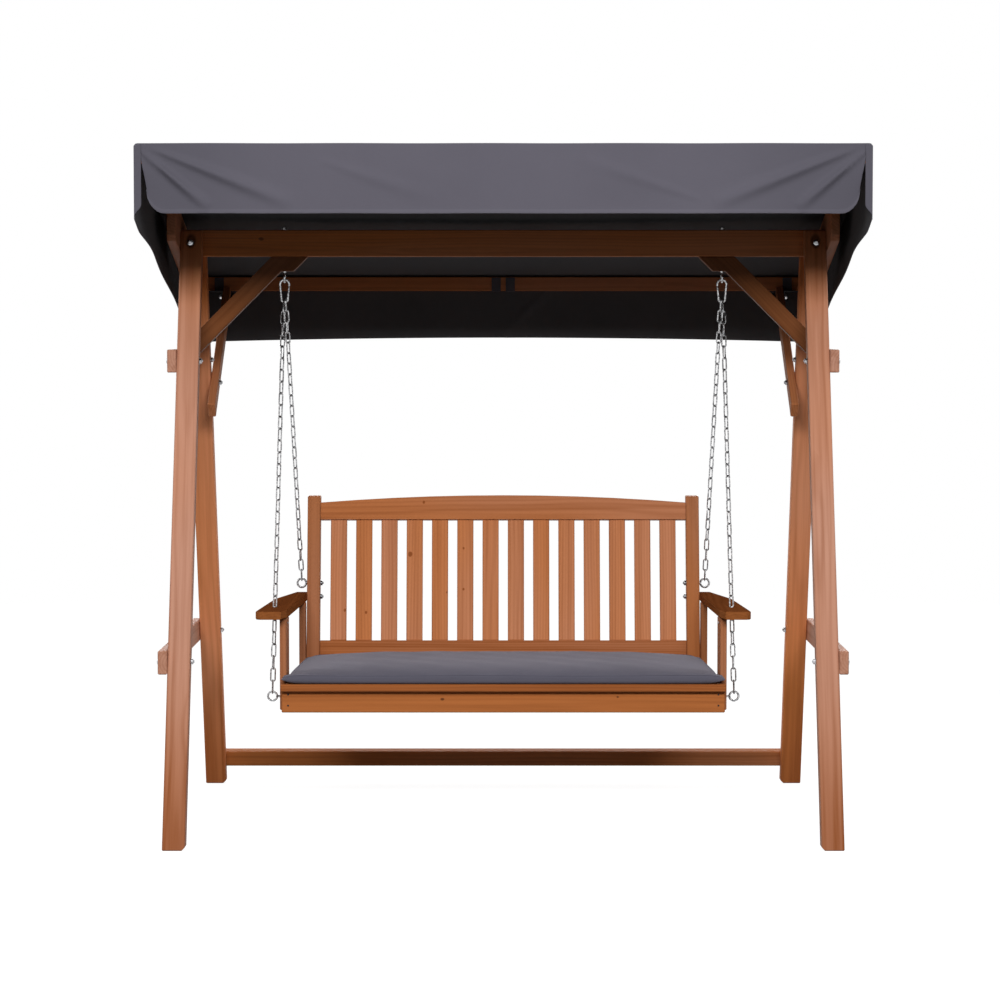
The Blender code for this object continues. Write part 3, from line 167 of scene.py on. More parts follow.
def timber(name, grain, seed, shade=1.0, pink=0.5, marks=(), leg=False, dim=None, gloss=0.12):
    """Oiled softwood: growth rings as long streaks, fine fibres, slow changes of tone and knots.

    The rings are circles about a pith line beside the board, at a distance bent by noise. A knot
    is the middle of a Voronoi cell, drawn out along the grain, and bends the rings near it. marks
    holds further knots as places along and across the board and sizes. A leg is darker and less
    pink near its foot and its top: painted shade, where the light falls off towards the foot and
    where the canopy shades the top. dim says where the board is darker, from 0 to 1: stains on the
    nosing, the back's rails and knots, and painted shade on an armrest's top.
    """

    def look(start):
        place = place_in(start)
        board = grain(place)
        shift = (0.37 * seed, 0.11 * seed, 0.07 * seed)
        moved = board.node("VectorMath", {"operation": "ADD"}, {0: board, 1: shift})
        cells = moved.node("VectorMath", {"operation": "MULTIPLY"}, {0: moved, 1: KNOT_CELLS})
        knot_far = cells.node("TexVoronoi", None, {"Vector": cells, "Scale": 1})
        cell_tone = cells.node("TexVoronoi", None, {"Vector": cells, "Scale": 1}, 1)
        chosen = cell_tone.apart()[0].rise(0.80, 0.81)
        knot = knot_far.rise(0.075, 0.045) * chosen
        u, v, w = board.apart()
        for x, y, size in marks:
            spot = ((u - x) * (u - x) * 0.45 + (v - y) * (v - y)) ** 0.5
            knot = knot.math("MAXIMUM", spot.rise(size, size * 0.55))
        bend = (moved.noise((1.6, 7, 7), 1) - 0.5) * 0.022
        bend = bend + knot_far.rise(0.4, 0.05) * chosen * 0.006
        pith_y, pith_z = 0.020 * math.sin(5.1 * seed), 0.042 + 0.016 * math.cos(3.3 * seed)
        radius = ((v - pith_y) * (v - pith_y) + (w - pith_z) * (w - pith_z)) ** 0.5 + bend
        late = ((radius * (2 * math.pi / RING_SPACING)).math("SINE") * 0.5 + 0.5) ** 2.0
        streak = moved.noise((1.1, 60, 60), 3, 0.6).rise(0.40, 0.66)
        fibre = moved.noise((16, 1100, 1100), 1)
        drift = moved.noise((1.3, 4.5, 4.5), 1).rise(0.32, 0.68)
        pale = (drift - 0.5) * 0.30 + pink
        # Painted shade on a leg: less pink towards the foot, where the light falls off, and at the
        # top, in the canopy's shade.
        if leg:
            low, high = place.apart()[2].rise(0.62, 0.02), place.apart()[2].rise(1.36, 1.62)
            pale = pale - low * 0.35 - high * 0.55
        tone = pale.math("MAXIMUM", 0).math("MINIMUM", 1).mix(
            tuple(shade * c for c in WARM_OIL), tuple(shade * c for c in PALE_OIL)
        )
        dark = late * 0.20 + streak * 0.24 + fibre * 0.16
        # Painted shade near a leg's foot and top, darkening the timber there.
        if leg:
            dark = dark + low * low * 0.50 + high * 0.22
        if dim:
            dark = dark + dim(place)
        tone = dark.math("MINIMUM", 1).mix(tone, tuple(shade * c for c in DEEP_OIL))
        tone = (knot * 0.85).mix(tone, tuple(shade * c for c in KNOT_BROWN))
        relief = fibre * 0.5 - late * 0.3 - knot * 0.4
        return {
            "Base Color": tone,
            "Roughness": 0.52 + fibre * 0.14 - late * 0.05,
            "Normal": relief.bump(0.25, 0.0006),
            "Specular IOR Level": gloss,
        }

    return finish(name, look)


def wear(material, *names):
    """Gives CAD nodes their finish, in the slots they have."""
    for name in names:
        thing = nodes[name]
        thing.data.materials.clear()
        thing.data.materials.append(material)


for end, y_sign in (("front", -1), ("rear", 1)):
    for side, x_sign in SIDES:
        up = (0, -y_sign * math.sin(LEG_LEAN), math.cos(LEG_LEAN))
        middle = (x_sign * LEG_X, y_sign * LEG_MIDDLE_Y, LEG_MIDDLE_Z)
        seed = 1.3 + 2 * (end == "rear") + 0.9 * (side == "right")
        grain = board_grain(up, middle)
        tone = FRONT_LEG_TONE if end == "front" else REAR_LEG_TONE
        name = "leg_timber_%s_%s" % (end, side)
        # leg=True paints shade near each leg's foot and top.
        made = timber(name, grain, seed, marks=(BOLT_SEAT,), leg=True, **tone)
        wear(made, "%s_leg_%s" % (end, side))


# Beam, braces, side rails and stretcher. Planed boards of the same oiled softwood. The beam lies
# between the leg tops, the braces are glued under it and the rails are bolted outside the legs.

BEAM_Z, BEAM_KNOT = 1.606, (-0.675, 0.012, 0.006)
SIDE_RAIL_X, UPPER_RAIL_Z, LOWER_RAIL_Z = 0.909, 1.2796, 0.4787
STRETCHER_Y, STRETCHER_Z = 0.613, 0.0703
grain = board_grain((1, 0, 0), (0, 0, BEAM_Z), (0, 0, 1))
wear(timber("beam_timber", grain, 7.1, 1.12, 0.1, (BEAM_KNOT,)), "top_beam")
for side, x_sign in SIDES:
    slope = board_grain((x_sign, 0, -1), (x_sign * 0.72, 0, 1.41), (0, 0, 1))
    # The braces are much darker than the other boards, at a third of their tone.
    wear(timber("brace_timber_" + side, slope, 9.0 + x_sign, 0.33, 0.20), "corner_brace_" + side)
    for rail, z in (("upper", UPPER_RAIL_Z), ("lower", LOWER_RAIL_Z)):
        grain = board_grain((0, 1, 0), (x_sign * SIDE_RAIL_X, 0, z), (0, 0, 1))
        made = timber("%s_rail_timber_%s" % (rail, side), grain, 11.0 + z + x_sign, 0.88, 0.97)
        wear(made, "%s_side_rail_%s" % (rail, side))
grain = board_grain((1, 0, 0), (0, STRETCHER_Y, STRETCHER_Z), (0, 0, 1))
wear(timber("stretcher_timber", grain, 15.2, 0.98, 0.10), "rear_stretcher")


# Canopy frame. Two rails across, two rafters with bearer boards under them that rest on the
# beam's ends, and two struts that hold the rear rail up from the rear legs.

ROOF_FALL = 0.2589
ROOF_SLOPE = math.atan(ROOF_FALL)
STRUT_SLOPE = math.radians(33.3)
for end, y, z in (("front", -0.616, 1.816), ("rear", 0.5975, 1.502)):
    grain = board_grain((1, 0, 0), (0, y, z), (0, 0, 1))
    wear(timber("canopy_%s_rail_timber" % end, grain, 18 + y, 0.9, 0.2), "canopy_%s_rail" % end)
for side, x_sign in SIDES:
    slope = (0, math.cos(ROOF_SLOPE), -math.sin(ROOF_SLOPE))
    grain = board_grain(slope, (x_sign * SIDE_RAIL_X, 0, 1.66), (0, 0, 1))
    wear(timber("rafter_timber_" + side, grain, 21.0 + x_sign, 0.92, 0.3), "canopy_rafter_" + side)
    slope = (0, math.cos(STRUT_SLOPE), math.sin(STRUT_SLOPE))
    grain = board_grain(slope, (x_sign * 0.825, 0.33, 1.31), (0, 0, 1))
    wear(timber("strut_timber_" + side, grain, 24.0 + x_sign, 0.92, 0.3), "canopy_strut_" + side)


# Frame bolts. Zinc-plated steel with domed heads, washers and hexagon nuts, put through drilled
# holes and drawn tight by hand: eight through the side rails, two through the leg tops.

HEAD_HEIGHT, HEAD_RADIUS = 0.0055, 0.0095
NUT_HEIGHT, NUT_RADIUS = 0.0065, 0.0075
BOLT_RADIUS, THREAD_END = 0.0040, 0.0030


def plated(name, dull, bright, waves=60):
    """Zinc plate: grey metal between two tones, faintly mottled and brushed."""

    def look(start):
        place = place_in(start)
        cloud = place.noise((waves, waves, waves), 3).rise(0.3, 0.7)
        speck = place.noise((900, 900, 900), 2)
        return {
            "Base Color": cloud.mix(dull, bright),
            "Metallic": 1.0,
            "Roughness": cloud * 0.18 + speck * 0.10 + 0.14,
            "Normal": speck.bump(0.12, 0.0002),
        }

    return finish(name, look)


zinc = plated("dull_zinc", (0.30, 0.31, 0.32), (0.58, 0.58, 0.60))


def quads(points, rows_round, columns_round, first):
    """Quads between a grid's neighbouring points, its last row or column joined to the first."""
    rows, columns = points.shape[:2]
    number = np.arange(rows * columns).reshape(rows, columns) + first
    if rows_round:
        number = np.vstack((number, number[:1]))
    if columns_round:
        number = np.hstack((number, number[:, :1]))
    near, far = number[:-1], number[1:]
    return np.stack((near[:, :-1], far[:, :-1], far[:, 1:], near[:, 1:]), axis=-1).reshape(-1, 4)


def make_piece(name, grids, material, body, sharp=40, flats=None):
    """One object from grids of points, each (points, rows round, columns round).

    Points in one place are merged, which closes poles and seams, and the faces are turned out.
    flats holds each grid's places on the flat cloth, kept as the UV map.
    """
    points, faces, first = [], [], 0
    for grid, rows_round, columns_round in grids:
        points.append(grid.reshape(-1, 3))
        faces.append(quads(grid, rows_round, columns_round, first))
        first += len(points[-1])
    mesh = bpy.data.meshes.new(name)
    mesh.from_pydata(np.vstack(points), [], np.vstack(faces))
    if flats:
        places = np.vstack([flat.reshape(-1, 2) for flat in flats]).astype(np.float32)
        corners = np.empty(len(mesh.loops), np.int32)
        mesh.loops.foreach_get("vertex_index", corners)
        mesh.uv_layers.new(name="flat").data.foreach_set("uv", places[corners].ravel())
    work = bmesh.new()
    work.from_mesh(mesh)
    bmesh.ops.remove_doubles(work, verts=work.verts, dist=2e-6)
    bmesh.ops.dissolve_degenerate(work, edges=work.edges, dist=1e-7)
    bmesh.ops.recalc_face_normals(work, faces=work.faces)
    work.to_mesh(mesh)
    work.free()
    mesh.shade_smooth()
    mesh.set_sharp_from_angle(angle=math.radians(sharp))
    made = bpy.data.objects.new(name, mesh)
    bpy.context.scene.collection.objects.link(made)
    mesh.materials.append(material)
    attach(made, body)
    return made


def turned(profile, seat, out, sides=24, hexagon=()):
    """(radius, height) pairs carried round a line from seat along out.

    The rows named in hexagon are six-sided.
    """
    profile = np.asarray(profile, float)
    angle = np.linspace(0, 2 * np.pi, sides, endpoint=False)
    six = math.cos(math.pi / 6) / np.cos((angle % (math.pi / 3)) - math.pi / 6)
    scale = np.ones((len(profile), sides))
    scale[list(hexagon)] = six
    turn = np.array(Vector(out).to_track_quat("Z", "Y").to_matrix())
    radius = profile[:, :1] * scale
    height = np.broadcast_to(profile[:, 1:], radius.shape)
    local = np.stack((radius * np.cos(angle), radius * np.sin(angle), height), axis=-1)
    return local @ turn.T + np.asarray(seat, float), False, True


def dome_head(seat, out):
    """A mushroom head with a hexagon recess, on a washer."""
    r, h = HEAD_RADIUS, HEAD_HEIGHT
    rise = np.linspace(0.36, 1, 8)
    dome = [(r * s, 0.0012 + (h - 0.0012) * math.sqrt(max(0.0, 1 - s**2.4))) for s in rise]
    recess = [(0, h - 0.0026), (0.0029, h - 0.0026), (0.0029, dome[0][1] - 0.0001)]
    return turned(recess + dome + [(r, 0.0002), (0, 0.0002)], seat, out, 24, (1, 2))


def hex_nut(seat, out):
    """A washer, a hexagon nut with chamfered ends and the domed end of the thread."""
    r, h = NUT_RADIUS * 1.04, NUT_HEIGHT
    washer = [(0, 0.0002), (r * 1.22, 0.0002), (r * 1.22, 0.0013), (0, 0.0013)]
    nut = [(0, 0.0012), (r * 0.92, 0.0012), (r, 0.0017), (r, h - 0.0006), (r * 0.9, h), (0, h)]
    end = h + THREAD_END
    steps = np.arange(0.0, THREAD_END - 0.0008, 0.0005)
    thread = [(0, h - 0.001)]
    for i, step in enumerate(steps):
        thread.append((BOLT_RADIUS - 0.0003 * (i % 2), h + step - 0.0004))
    thread += [(BOLT_RADIUS - 0.0008, end), (0, end)]
    nut_grid, thread_grid = turned(nut, seat, out, 24, (2, 3)), turned(thread, seat, out, 16)
    return [turned(washer, seat, out), nut_grid, thread_grid]


def make_bolt(name, node, head_end, way, length):
    """A bolt as fitted: head_end is the top of its head, way runs from the nut to the head."""
    way = Vector(way).normalized()
    head_seat = Vector(head_end) - way * HEAD_HEIGHT
    nut_seat = Vector(head_end) - way * (length - NUT_HEIGHT - THREAD_END)
    grids = [dome_head(head_seat, way)] + hex_nut(nut_seat, -way)
    made = make_piece(name, grids, zinc, "frame")
    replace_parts(made, node)


for side, x_sign in SIDES:
    for rail in ("upper", "lower"):
        for end in ("front", "rear"):
            node = "%s_rail_bolt_%s_%s" % (rail, end, side)
            low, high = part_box(node)
            end_x = high.x if x_sign > 0 else low.x
            head = (end_x, (low.y + high.y) / 2, (low.z + high.z) / 2)
            make_bolt("shown_" + node, node, head, (x_sign, 0, 0), high.x - low.x)
    node = "leg_top_bolt_" + side
    low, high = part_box(node)
    head = ((low.x + high.x) / 2, low.y, (low.z + high.z) / 2)
    make_bolt("shown_" + node, node, head, (0, -1, 0), high.y - low.y)


# Small fasteners of the frame that the solids leave out: the stretcher's bolts, the strut's bolt
# and the bearer's screws. Zinc-plated, driven through into the legs and rafters.

REAR_LEG_Y, STRETCHER_BACK = 0.5942, 0.0268
STRUT_NUT = (0.8135, 0.1835, 1.2140)
BEARER_OUTER, BEARER_SCREW_DROP, ROOF_FRONT_Y, ROOF_FRONT_Z = 0.9214, 0.088, -0.6323, 1.848
out = (0, math.cos(LEG_LEAN), math.sin(LEG_LEAN))
grids = []
for side, x_sign in SIDES:
    face = Vector((x_sign * LEG_X, REAR_LEG_Y, STRETCHER_Z)) + Vector(out) * STRETCHER_BACK
    grids.append(dome_head(face, out))
    grids += hex_nut((x_sign * STRUT_NUT[0], STRUT_NUT[1], STRUT_NUT[2]), (-x_sign, 0, 0))
    for y in (-0.14, 0.10):
        screw_z = ROOF_FRONT_Z - (y - ROOF_FRONT_Y) * ROOF_FALL - BEARER_SCREW_DROP
        grids.append(dome_head((x_sign * BEARER_OUTER, y, screw_z), (x_sign, 0, 0)))
make_piece("frame_small_bolts", grids, zinc, "frame")


# Canopy fittings. Two angle plates of black-coated steel under the rear rail, and two black
# moulded hand knobs that clamp the struts to them. A knob turns on its stud.

KNOB_HEIGHT, KNOB_LOBES, LOBE_DEPTH, STUD_X = 0.0130, 6, 0.10, 0.8393
KNOB_PROFILE = ((0, 0.0003), (0.0062, 0.0003), (0.0072, 0.0022), (0.0100, 0.0034))
KNOB_PROFILE += ((0.0120, 0.0048), (0.0120, 0.0096), (0.0110, 0.0117), (0.0070, 0.0128))
KNOB_PROFILE += ((0.0028, 0.0130), (0, 0.0130))


def black_look(start):
    """Black powder coat or moulding: fine orange-peel, a little dust on it."""
    place = place_in(start)
    peel = place.noise((700, 700, 700), 2)
    dust = place.noise((35, 35, 35), 3).rise(0.4, 0.75)
    return {
        "Base Color": dust.mix((0.010, 0.010, 0.011), (0.022, 0.021, 0.022)),
        "Roughness": peel * 0.15 + dust * 0.1 + 0.35,
        "Normal": peel.bump(0.2, 0.0003),
        "Specular IOR Level": 0.3,
    }


black = finish("black_coat", black_look)
wear(black, "canopy_bracket_left", "canopy_bracket_right")
for side, x_sign in SIDES:
    low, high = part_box("canopy_knob_" + side)
    outer = low.x if x_sign > 0 else high.x
    seat = (outer + x_sign * KNOB_HEIGHT, (low.y + high.y) / 2, (low.z + high.z) / 2)
    body, _, _ = turned(KNOB_PROFILE, (0, 0, 0), (0, 0, 1), 60)
    angle = np.linspace(0, 2 * np.pi, 60, endpoint=False)
    grip = 1 - LOBE_DEPTH * (0.5 - 0.5 * np.cos(KNOB_LOBES * angle)) ** 2
    wide = (np.asarray(KNOB_PROFILE)[:, 0] > 0.009)[:, None]
    body[..., :2] *= np.where(wide, grip, 1.0)[..., None]
    turn = np.array(Vector((-x_sign, 0, 0)).to_track_quat("Z", "Y").to_matrix())
    grids = [(body @ turn.T + np.array(seat), False, True)]
    knob = make_piece("shown_knob_" + side, grids, black, "knob_" + side)
    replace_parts(knob, "canopy_knob_" + side)
    knob_stud = hex_nut((x_sign * STUD_X, seat[1], seat[2]), (x_sign, 0, 0))
    make_piece("knob_stud_" + side, knob_stud, zinc, "knob_" + side)


# Canopy cover. One piece of grey canvas, proofed black inside, stretched over the roof frame.
# Its four valances are hemmed and open at the corners, the front ones rounded.

HALF_WIDTH = 0.9567
FRONT_Y, REAR_Y = -0.6324, 0.6131
FRONT_Z = 1.8478
FRONT_DROP, SIDE_DROP, REAR_DROP = 0.181, 0.175, 0.184
CORNER_LONGER = 0.014
RETURN = 0.0190
FRONT_FLAP = HALF_WIDTH - RETURN
CORNER_RADIUS = 0.055
CANVAS, THREAD, STITCH = 0.0026, 0.0011, 0.0052
canvas_grids, canvas_flats = [], []


def roof_height(y):
    """The cloth's height over a place, before it sags."""
    return FRONT_Z - (y - FRONT_Y) * ROOF_FALL


def fold(x, z, start, stop, width):
    """A soft crease along a line from start to stop on the front valance, fading at its ends."""
    way = np.array(stop) - start
    length = np.hypot(*way)
    along = ((x - start[0]) * way[0] + (z - start[1]) * way[1]) / length
    away = ((x - start[0]) * way[1] - (z - start[1]) * way[0]) / length
    reach = np.clip(along / length, 0, 1)
    spread = width * (0.45 + 0.9 * reach)
    return np.exp(-((away / spread) ** 2)) * np.sin(np.pi * reach) ** 0.6


def smooth_step(t):
    """0 to 1 with level ends."""
    t = np.clip(t, 0, 1)
    return t * t * (3 - 2 * t)


ease = 0.5 - 0.5 * np.cos(np.linspace(0, np.pi, 9))
edge = FRONT_FLAP - 0.060 * ease
middle_x = np.linspace(-edge[-1], edge[-1], 321)[1:-1]
across_x = np.concatenate((-edge, middle_x, edge[::-1]))
return_x = np.linspace(HALF_WIDTH, FRONT_FLAP, 5)
all_x = np.concatenate((-return_x[:-1], across_x, return_x[:-1][::-1]))
middle_y = np.linspace(FRONT_Y + 0.028, REAR_Y - 0.028, 60)
roof_y = np.concatenate(([FRONT_Y, FRONT_Y + 0.012], middle_y, [REAR_Y - 0.012, REAR_Y]))

x, y = np.meshgrid(all_x, roof_y)
free = np.clip((y - FRONT_Y - 0.030) / (REAR_Y - FRONT_Y - 0.060), 0, 1)
between = 1 - np.minimum(1, np.abs(x) / 0.893) ** 2
ripple = 0.0016 * np.sin(9 * x + 5 * y) * np.sin(7 * y - 3 * x) + 0.0010 * np.sin(21 * x - 6 * y)
sag = between * (0.0120 * np.sin(np.pi * free) + 0.9 * np.abs(ripple) * np.sin(np.pi * free))
over = np.clip(np.abs(x) - (HALF_WIDTH - 0.008), 0, 0.008) / 0.008
turned_down = 0.0070 * over**2 * np.clip((REAR_Y - y) / 0.04, 0, 1)
lift = 0.0003 * (1 - np.cos(2 * np.pi * x / 0.36 + 0.8)) * np.exp(-((y - FRONT_Y) / 0.05) ** 2)
roof = np.stack((x, y, roof_height(y) - sag - turned_down - lift), axis=-1)
canvas_grids.append((roof, False, False))
canvas_flats.append(np.stack((x, y / math.cos(ROOF_SLOPE) + 5.0), axis=-1))


def valance(top, drops, push, flat_along, squeeze):
    """Cloth hung from a row of points: each row is lower by its share of the drop.

    squeeze then moves the points sideways and push adds the folds and waves.
    """
    middle = np.linspace(0.11, 0.93, 34)
    share = np.concatenate(([0, 0.02, 0.05, 0.08], middle, [0.955, 0.98, 1.0]))[:, None]
    points = np.repeat(top[None], len(share), axis=0)
    points[..., 2] -= share * drops
    points[..., 0] = squeeze(points[..., 0], share)
    points += push(points, share)
    canvas_grids.append((points, False, False))
    hem_far = (1 - share) * drops
    canvas_flats.append(np.stack((np.broadcast_to(flat_along, hem_far.shape), hem_far), axis=-1))


def rounded(x, flap):
    """How much shorter a valance is at its rounded lower corner."""
    over = np.clip(np.abs(x) - (flap - CORNER_RADIUS), 0, CORNER_RADIUS)
    return CORNER_RADIUS - np.sqrt(CORNER_RADIUS**2 - over**2)


def front_push(points, share):
    """Folds from the corners and slow waves at the hem of the front valance."""
    x, z = points[..., 0], points[..., 2]
    crease = fold(np.abs(x), z, (0.936, 1.826), (0.762, 1.680), 0.0110) * 0.0130
    crease += fold(np.abs(x), z, (0.912, 1.834), (0.545, 1.690), 0.0150) * 0.0115
    crease += fold(x, z, (-0.48, 1.805), (-0.16, 1.700), 0.0180) * 0.0030
    crease += fold(x, z, (0.52, 1.700), (0.18, 1.815), 0.0160) * 0.0030
    low = smooth_step((share - 0.35) / 0.65)
    wave = 0.0022 * (1 - np.cos(2 * np.pi * x / 0.62)) + 0.0012 * (1 - np.sin(11.0 * x + 0.7))
    hem = 0.0006 * (share > 0.94)
    inward = low * wave - crease * np.clip(share / 0.06, 0, 1) - hem
    return np.stack((np.zeros_like(x), inward, np.zeros_like(x)), axis=-1)


def rear_push(points, share):
    """One long fold and slow waves of the rear valance, drawn in from its plane."""
    x, z = points[..., 0], points[..., 2]
    low = smooth_step((share - 0.3) / 0.7)
    wave = 0.0024 * (1 - np.cos(2 * np.pi * x / 0.47 + 0.6)) * low
    line = fold(x, z, (0.150, 1.500), (0.000, 1.350), 0.014) * 0.006
    inward = (wave + line) * np.clip(share / 0.06, 0, 1)
    return np.stack((np.zeros_like(x), -inward, np.zeros_like(x)), axis=-1)


def side_push(x_sign):
    """A side valance leans in a little towards its hem and waves from front to back."""

    def push(points, share):
        y = points[..., 1]
        back = (y - FRONT_Y) / (REAR_Y - FRONT_Y)
        low = smooth_step((share - 0.30) / 0.70)
        inward = low * (0.016 * back + 0.0024 * (1 - np.cos(2 * np.pi * (y - FRONT_Y) / 0.55)))
        return np.stack((-x_sign * inward, np.zeros_like(y), np.zeros_like(y)), axis=-1)

    return push


def front_lobe(y):
    """How much lower the side valance hangs at its front corner."""
    round_off = 0.012 * (1 - smooth_step((y - FRONT_Y) / 0.10))
    return 0.026 * (1 - smooth_step((y - FRONT_Y) / 0.40)) - round_off


def front_squeeze(x, share):
    """The front valance draws in from the corner below its rail, which opens a narrow wedge."""
    inner = 1 - smooth_step((FRONT_FLAP - np.abs(x)) / 0.09)
    return x - np.sign(x) * 0.0135 * inner * smooth_step((share - 0.25) / 0.75)


inner = slice(len(return_x) - 1, len(all_x) - len(return_x) + 1)
drops = FRONT_DROP - rounded(across_x, FRONT_FLAP)
valance(roof[0, inner], drops, front_push, across_x, front_squeeze)


def rear_squeeze(x, share):
    """The rear valance's ends draw in below the corner, which opens a narrow slit."""
    return x * (1 - 0.0070 * smooth_step((share - 0.1) / 0.5))


def no_squeeze(x, share):
    """A side valance stays where it hangs."""
    return x


def strip_squeeze(x, share):
    """The side valance's front return narrows to nothing at the hem."""
    left = 1 - 0.97 * smooth_step((share - 0.84) / 0.16)
    return np.sign(x) * (HALF_WIDTH - (HALF_WIDTH - np.abs(x)) * left)


def strip_push(points, share):
    """The return lies in the front's plane."""
    return np.zeros_like(points)


drops = REAR_DROP + CORNER_LONGER * (all_x / HALF_WIDTH) ** 2 - rounded(all_x, HALF_WIDTH)
valance(roof[-1], drops, rear_push, all_x, rear_squeeze)
for x_sign, strip in ((-1, roof[0, : len(return_x)]), (1, roof[0, -len(return_x) :])):
    top = roof[:, 0 if x_sign < 0 else -1]
    valance(top, SIDE_DROP + front_lobe(roof_y), side_push(x_sign), roof_y, no_squeeze)
    drops = np.full(len(strip), SIDE_DROP + CORNER_LONGER)
    valance(strip, drops, strip_push, np.abs(strip[:, 0]) - 3, strip_squeeze)


def canvas_weave(u, v):
    """Threads both ways: a sine of one flat direction times a sine of the other."""
    return (u * (2 * math.pi / THREAD)).math("SINE") * (v * (2 * math.pi / THREAD)).math("SINE")


def canvas_look(start):
    """Grey plain-woven canvas, doubled and stitched along its hems, darker towards the ends."""
    u, v, _ = start.node("TexCoord", take=2).apart()
    place = place_in(start)
    edge_shade = place.apart()[0].math("ABSOLUTE").rise(0.45, 0.95) * 0.28
    weave = canvas_weave(u, v)
    cloud = place.noise((4, 4, 4), 3)
    slub = place.noise((60, 60, 700), 2)
    hem = v.rise(0.0125, 0.0105)
    dash = (u * (2 * math.pi / STITCH)).math("SINE").rise(-0.5, -0.1)
    stitch = (v - 0.0118).math("ABSOLUTE").rise(0.0011, 0.0004) * dash
    tone = (cloud * 0.7 + slub * 0.3).mix((0.098, 0.092, 0.114), (0.124, 0.117, 0.144))
    tone = (weave * 0.06 + edge_shade + 0.06).mix(tone, (0.05, 0.05, 0.06))
    tone = (hem * 0.08 + v.rise(0.0022, 0.0012) * 0.45).mix(tone, (0.20, 0.19, 0.225))
    tone = (stitch * 0.25).mix(tone, (0.05, 0.05, 0.06))
    relief = weave * 0.25 + slub * 0.3 + hem * 0.8 - stitch * 0.9
    return {
        "Base Color": tone,
        "Roughness": 0.86 + slub * 0.1,
        "Normal": relief.bump(0.35, 0.0006),
        "Specular IOR Level": 0.12,
    }


def proofing_look(start):
    """The inside of the canvas, black and slightly shiny, with the weave showing through."""
    u, v, _ = start.node("TexCoord", take=2).apart()
    place = place_in(start)
    weave = canvas_weave(u, v)
    cloud = place.noise((5, 5, 5), 3)
    return {
        "Base Color": cloud.mix((0.076, 0.077, 0.082), (0.107, 0.107, 0.113)),
        "Roughness": 0.80 + cloud * 0.1,
        "Normal": weave.bump(0.25, 0.0005),
        "Specular IOR Level": 0.10,
    }


canvas = finish("canopy_canvas", canvas_look)
cover = make_piece(
    "canopy_cover_cloth", canvas_grids, canvas, "frame", 55, canvas_flats
)
cover.data.materials.append(finish("canopy_proofing", proofing_look))
work = bmesh.new()
work.from_mesh(cover.data)
work.faces.ensure_lookup_table()
top_face = max(work.faces, key=lambda face: face.calc_center_median().z)
if top_face.normal.z < 0:
    bmesh.ops.reverse_faces(work, faces=work.faces)
work.to_mesh(cover.data)
work.free()
wall = cover.modifiers.new("canvas", "SOLIDIFY")
wall.thickness = CANVAS
wall.offset = -1
wall.material_offset = 1
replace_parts(cover, "canopy_cover")


# Canopy straps. Short loops of the same canvas, sewn to the cover and tied round the rear rail.
# Four show from the front: two beside the middle and one near each end.

STRAP_WIDTH, STRAP, STRAP_RIB = 0.027, 0.0012, 0.0016
STRAP_PLACES = (-0.849, -0.021, 0.021, 0.849)
straps = []
low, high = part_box("canopy_rear_rail")
reach = STRAP + 0.0004
route = [(high.y - 0.003, low.z - reach), (low.y + 0.003, low.z - reach)]
route += [(low.y - 0.001, low.z - 0.0008), (low.y - reach, low.z + 0.004)]
route += [(low.y - reach - 0.0006, (low.z + high.z) / 2), (low.y - reach, high.z - 0.002)]
route = np.array(route)
ahead = np.gradient(route, axis=0)
ahead /= np.linalg.norm(ahead, axis=1, keepdims=True)
aside = np.stack((-ahead[:, 1], ahead[:, 0]), axis=-1)
for x in STRAP_PLACES:
    ring = []
    for dx, dn in ((-1, -1), (-1, 1), (0, 1.25), (1, 1), (1, -1), (0, -1)):
        spot = route + aside * (STRAP / 2) * dn
        level = np.full(len(route), x + dx * STRAP_WIDTH / 2)
        ring.append(np.stack((level, spot[:, 0], spot[:, 1]), axis=-1))
    tube = np.stack(ring, axis=1)
    ends = [np.repeat(tube[i].mean(0)[None, None], 6, axis=1) for i in (0, -1)]
    straps.append((np.concatenate((ends[0], tube, ends[1])), False, True))


def strap_look(start):
    """Canvas tape in the cover's grey, woven across and stitched at its edges."""
    place = place_in(start)
    rib = (place.apart()[2] * (2 * math.pi / STRAP_RIB)).math("SINE")
    cloud = place.noise((40, 40, 40), 2)
    tone = cloud.mix((0.085, 0.080, 0.092), (0.120, 0.113, 0.130))
    return {
        "Base Color": (rib * 0.1 + 0.1).mix(tone, (0.03, 0.03, 0.035)),
        "Roughness": 0.85 + cloud * 0.1,
        "Normal": rib.bump(0.3, 0.0004),
        "Specular IOR Level": 0.12,
    }


make_piece("canopy_straps", straps, finish("canvas_tape", strap_look), "frame")


# Hook eyes. Zinc-plated eye bolts that go up through each brace and the beam, with their nuts on
# top of the beam. The snap hooks hang in their rings.

HOOK_X, HOOK_SEAT_Z, EYE_CENTRE_Z, BEAM_TOP_Z = 0.612, 1.5285, 1.5100, 1.643
bright_zinc = plated("bright_zinc", (0.13, 0.135, 0.14), (0.70, 0.70, 0.71), 230)
EYE_WIRE, EYE_RADIUS, SEAT_EYE_RADIUS = 0.0030, 0.0110, 0.0125


def swept(path, radius, across, closed=False, sides=12):
    """A round wire along a path that lies in one plane, whose normal is across.

    The ring at each point is square to the path. radius is one number or one for each point.
    An open wire is closed by a last ring drawn to its middle.
    """
    path = np.asarray(path, float)
    ahead = np.roll(path, -1, 0) - np.roll(path, 1, 0) if closed else np.gradient(path, axis=0)
    ahead /= np.linalg.norm(ahead, axis=1, keepdims=True)
    across = np.asarray(across, float) / np.linalg.norm(across)
    inward = np.cross(ahead, across)
    turn = np.linspace(0, 2 * np.pi, sides, endpoint=False)[None, :, None]
    ring = np.cos(turn) * inward[:, None] + np.sin(turn) * across
    wide = np.broadcast_to(radius, (len(path),))[:, None, None]
    points = path[:, None] + wide * ring
    if not closed:
        first, last = (np.repeat(path[i][None, None], sides, axis=1) for i in (0, -1))
        points = np.concatenate((first, points, last))
    return points, closed, True


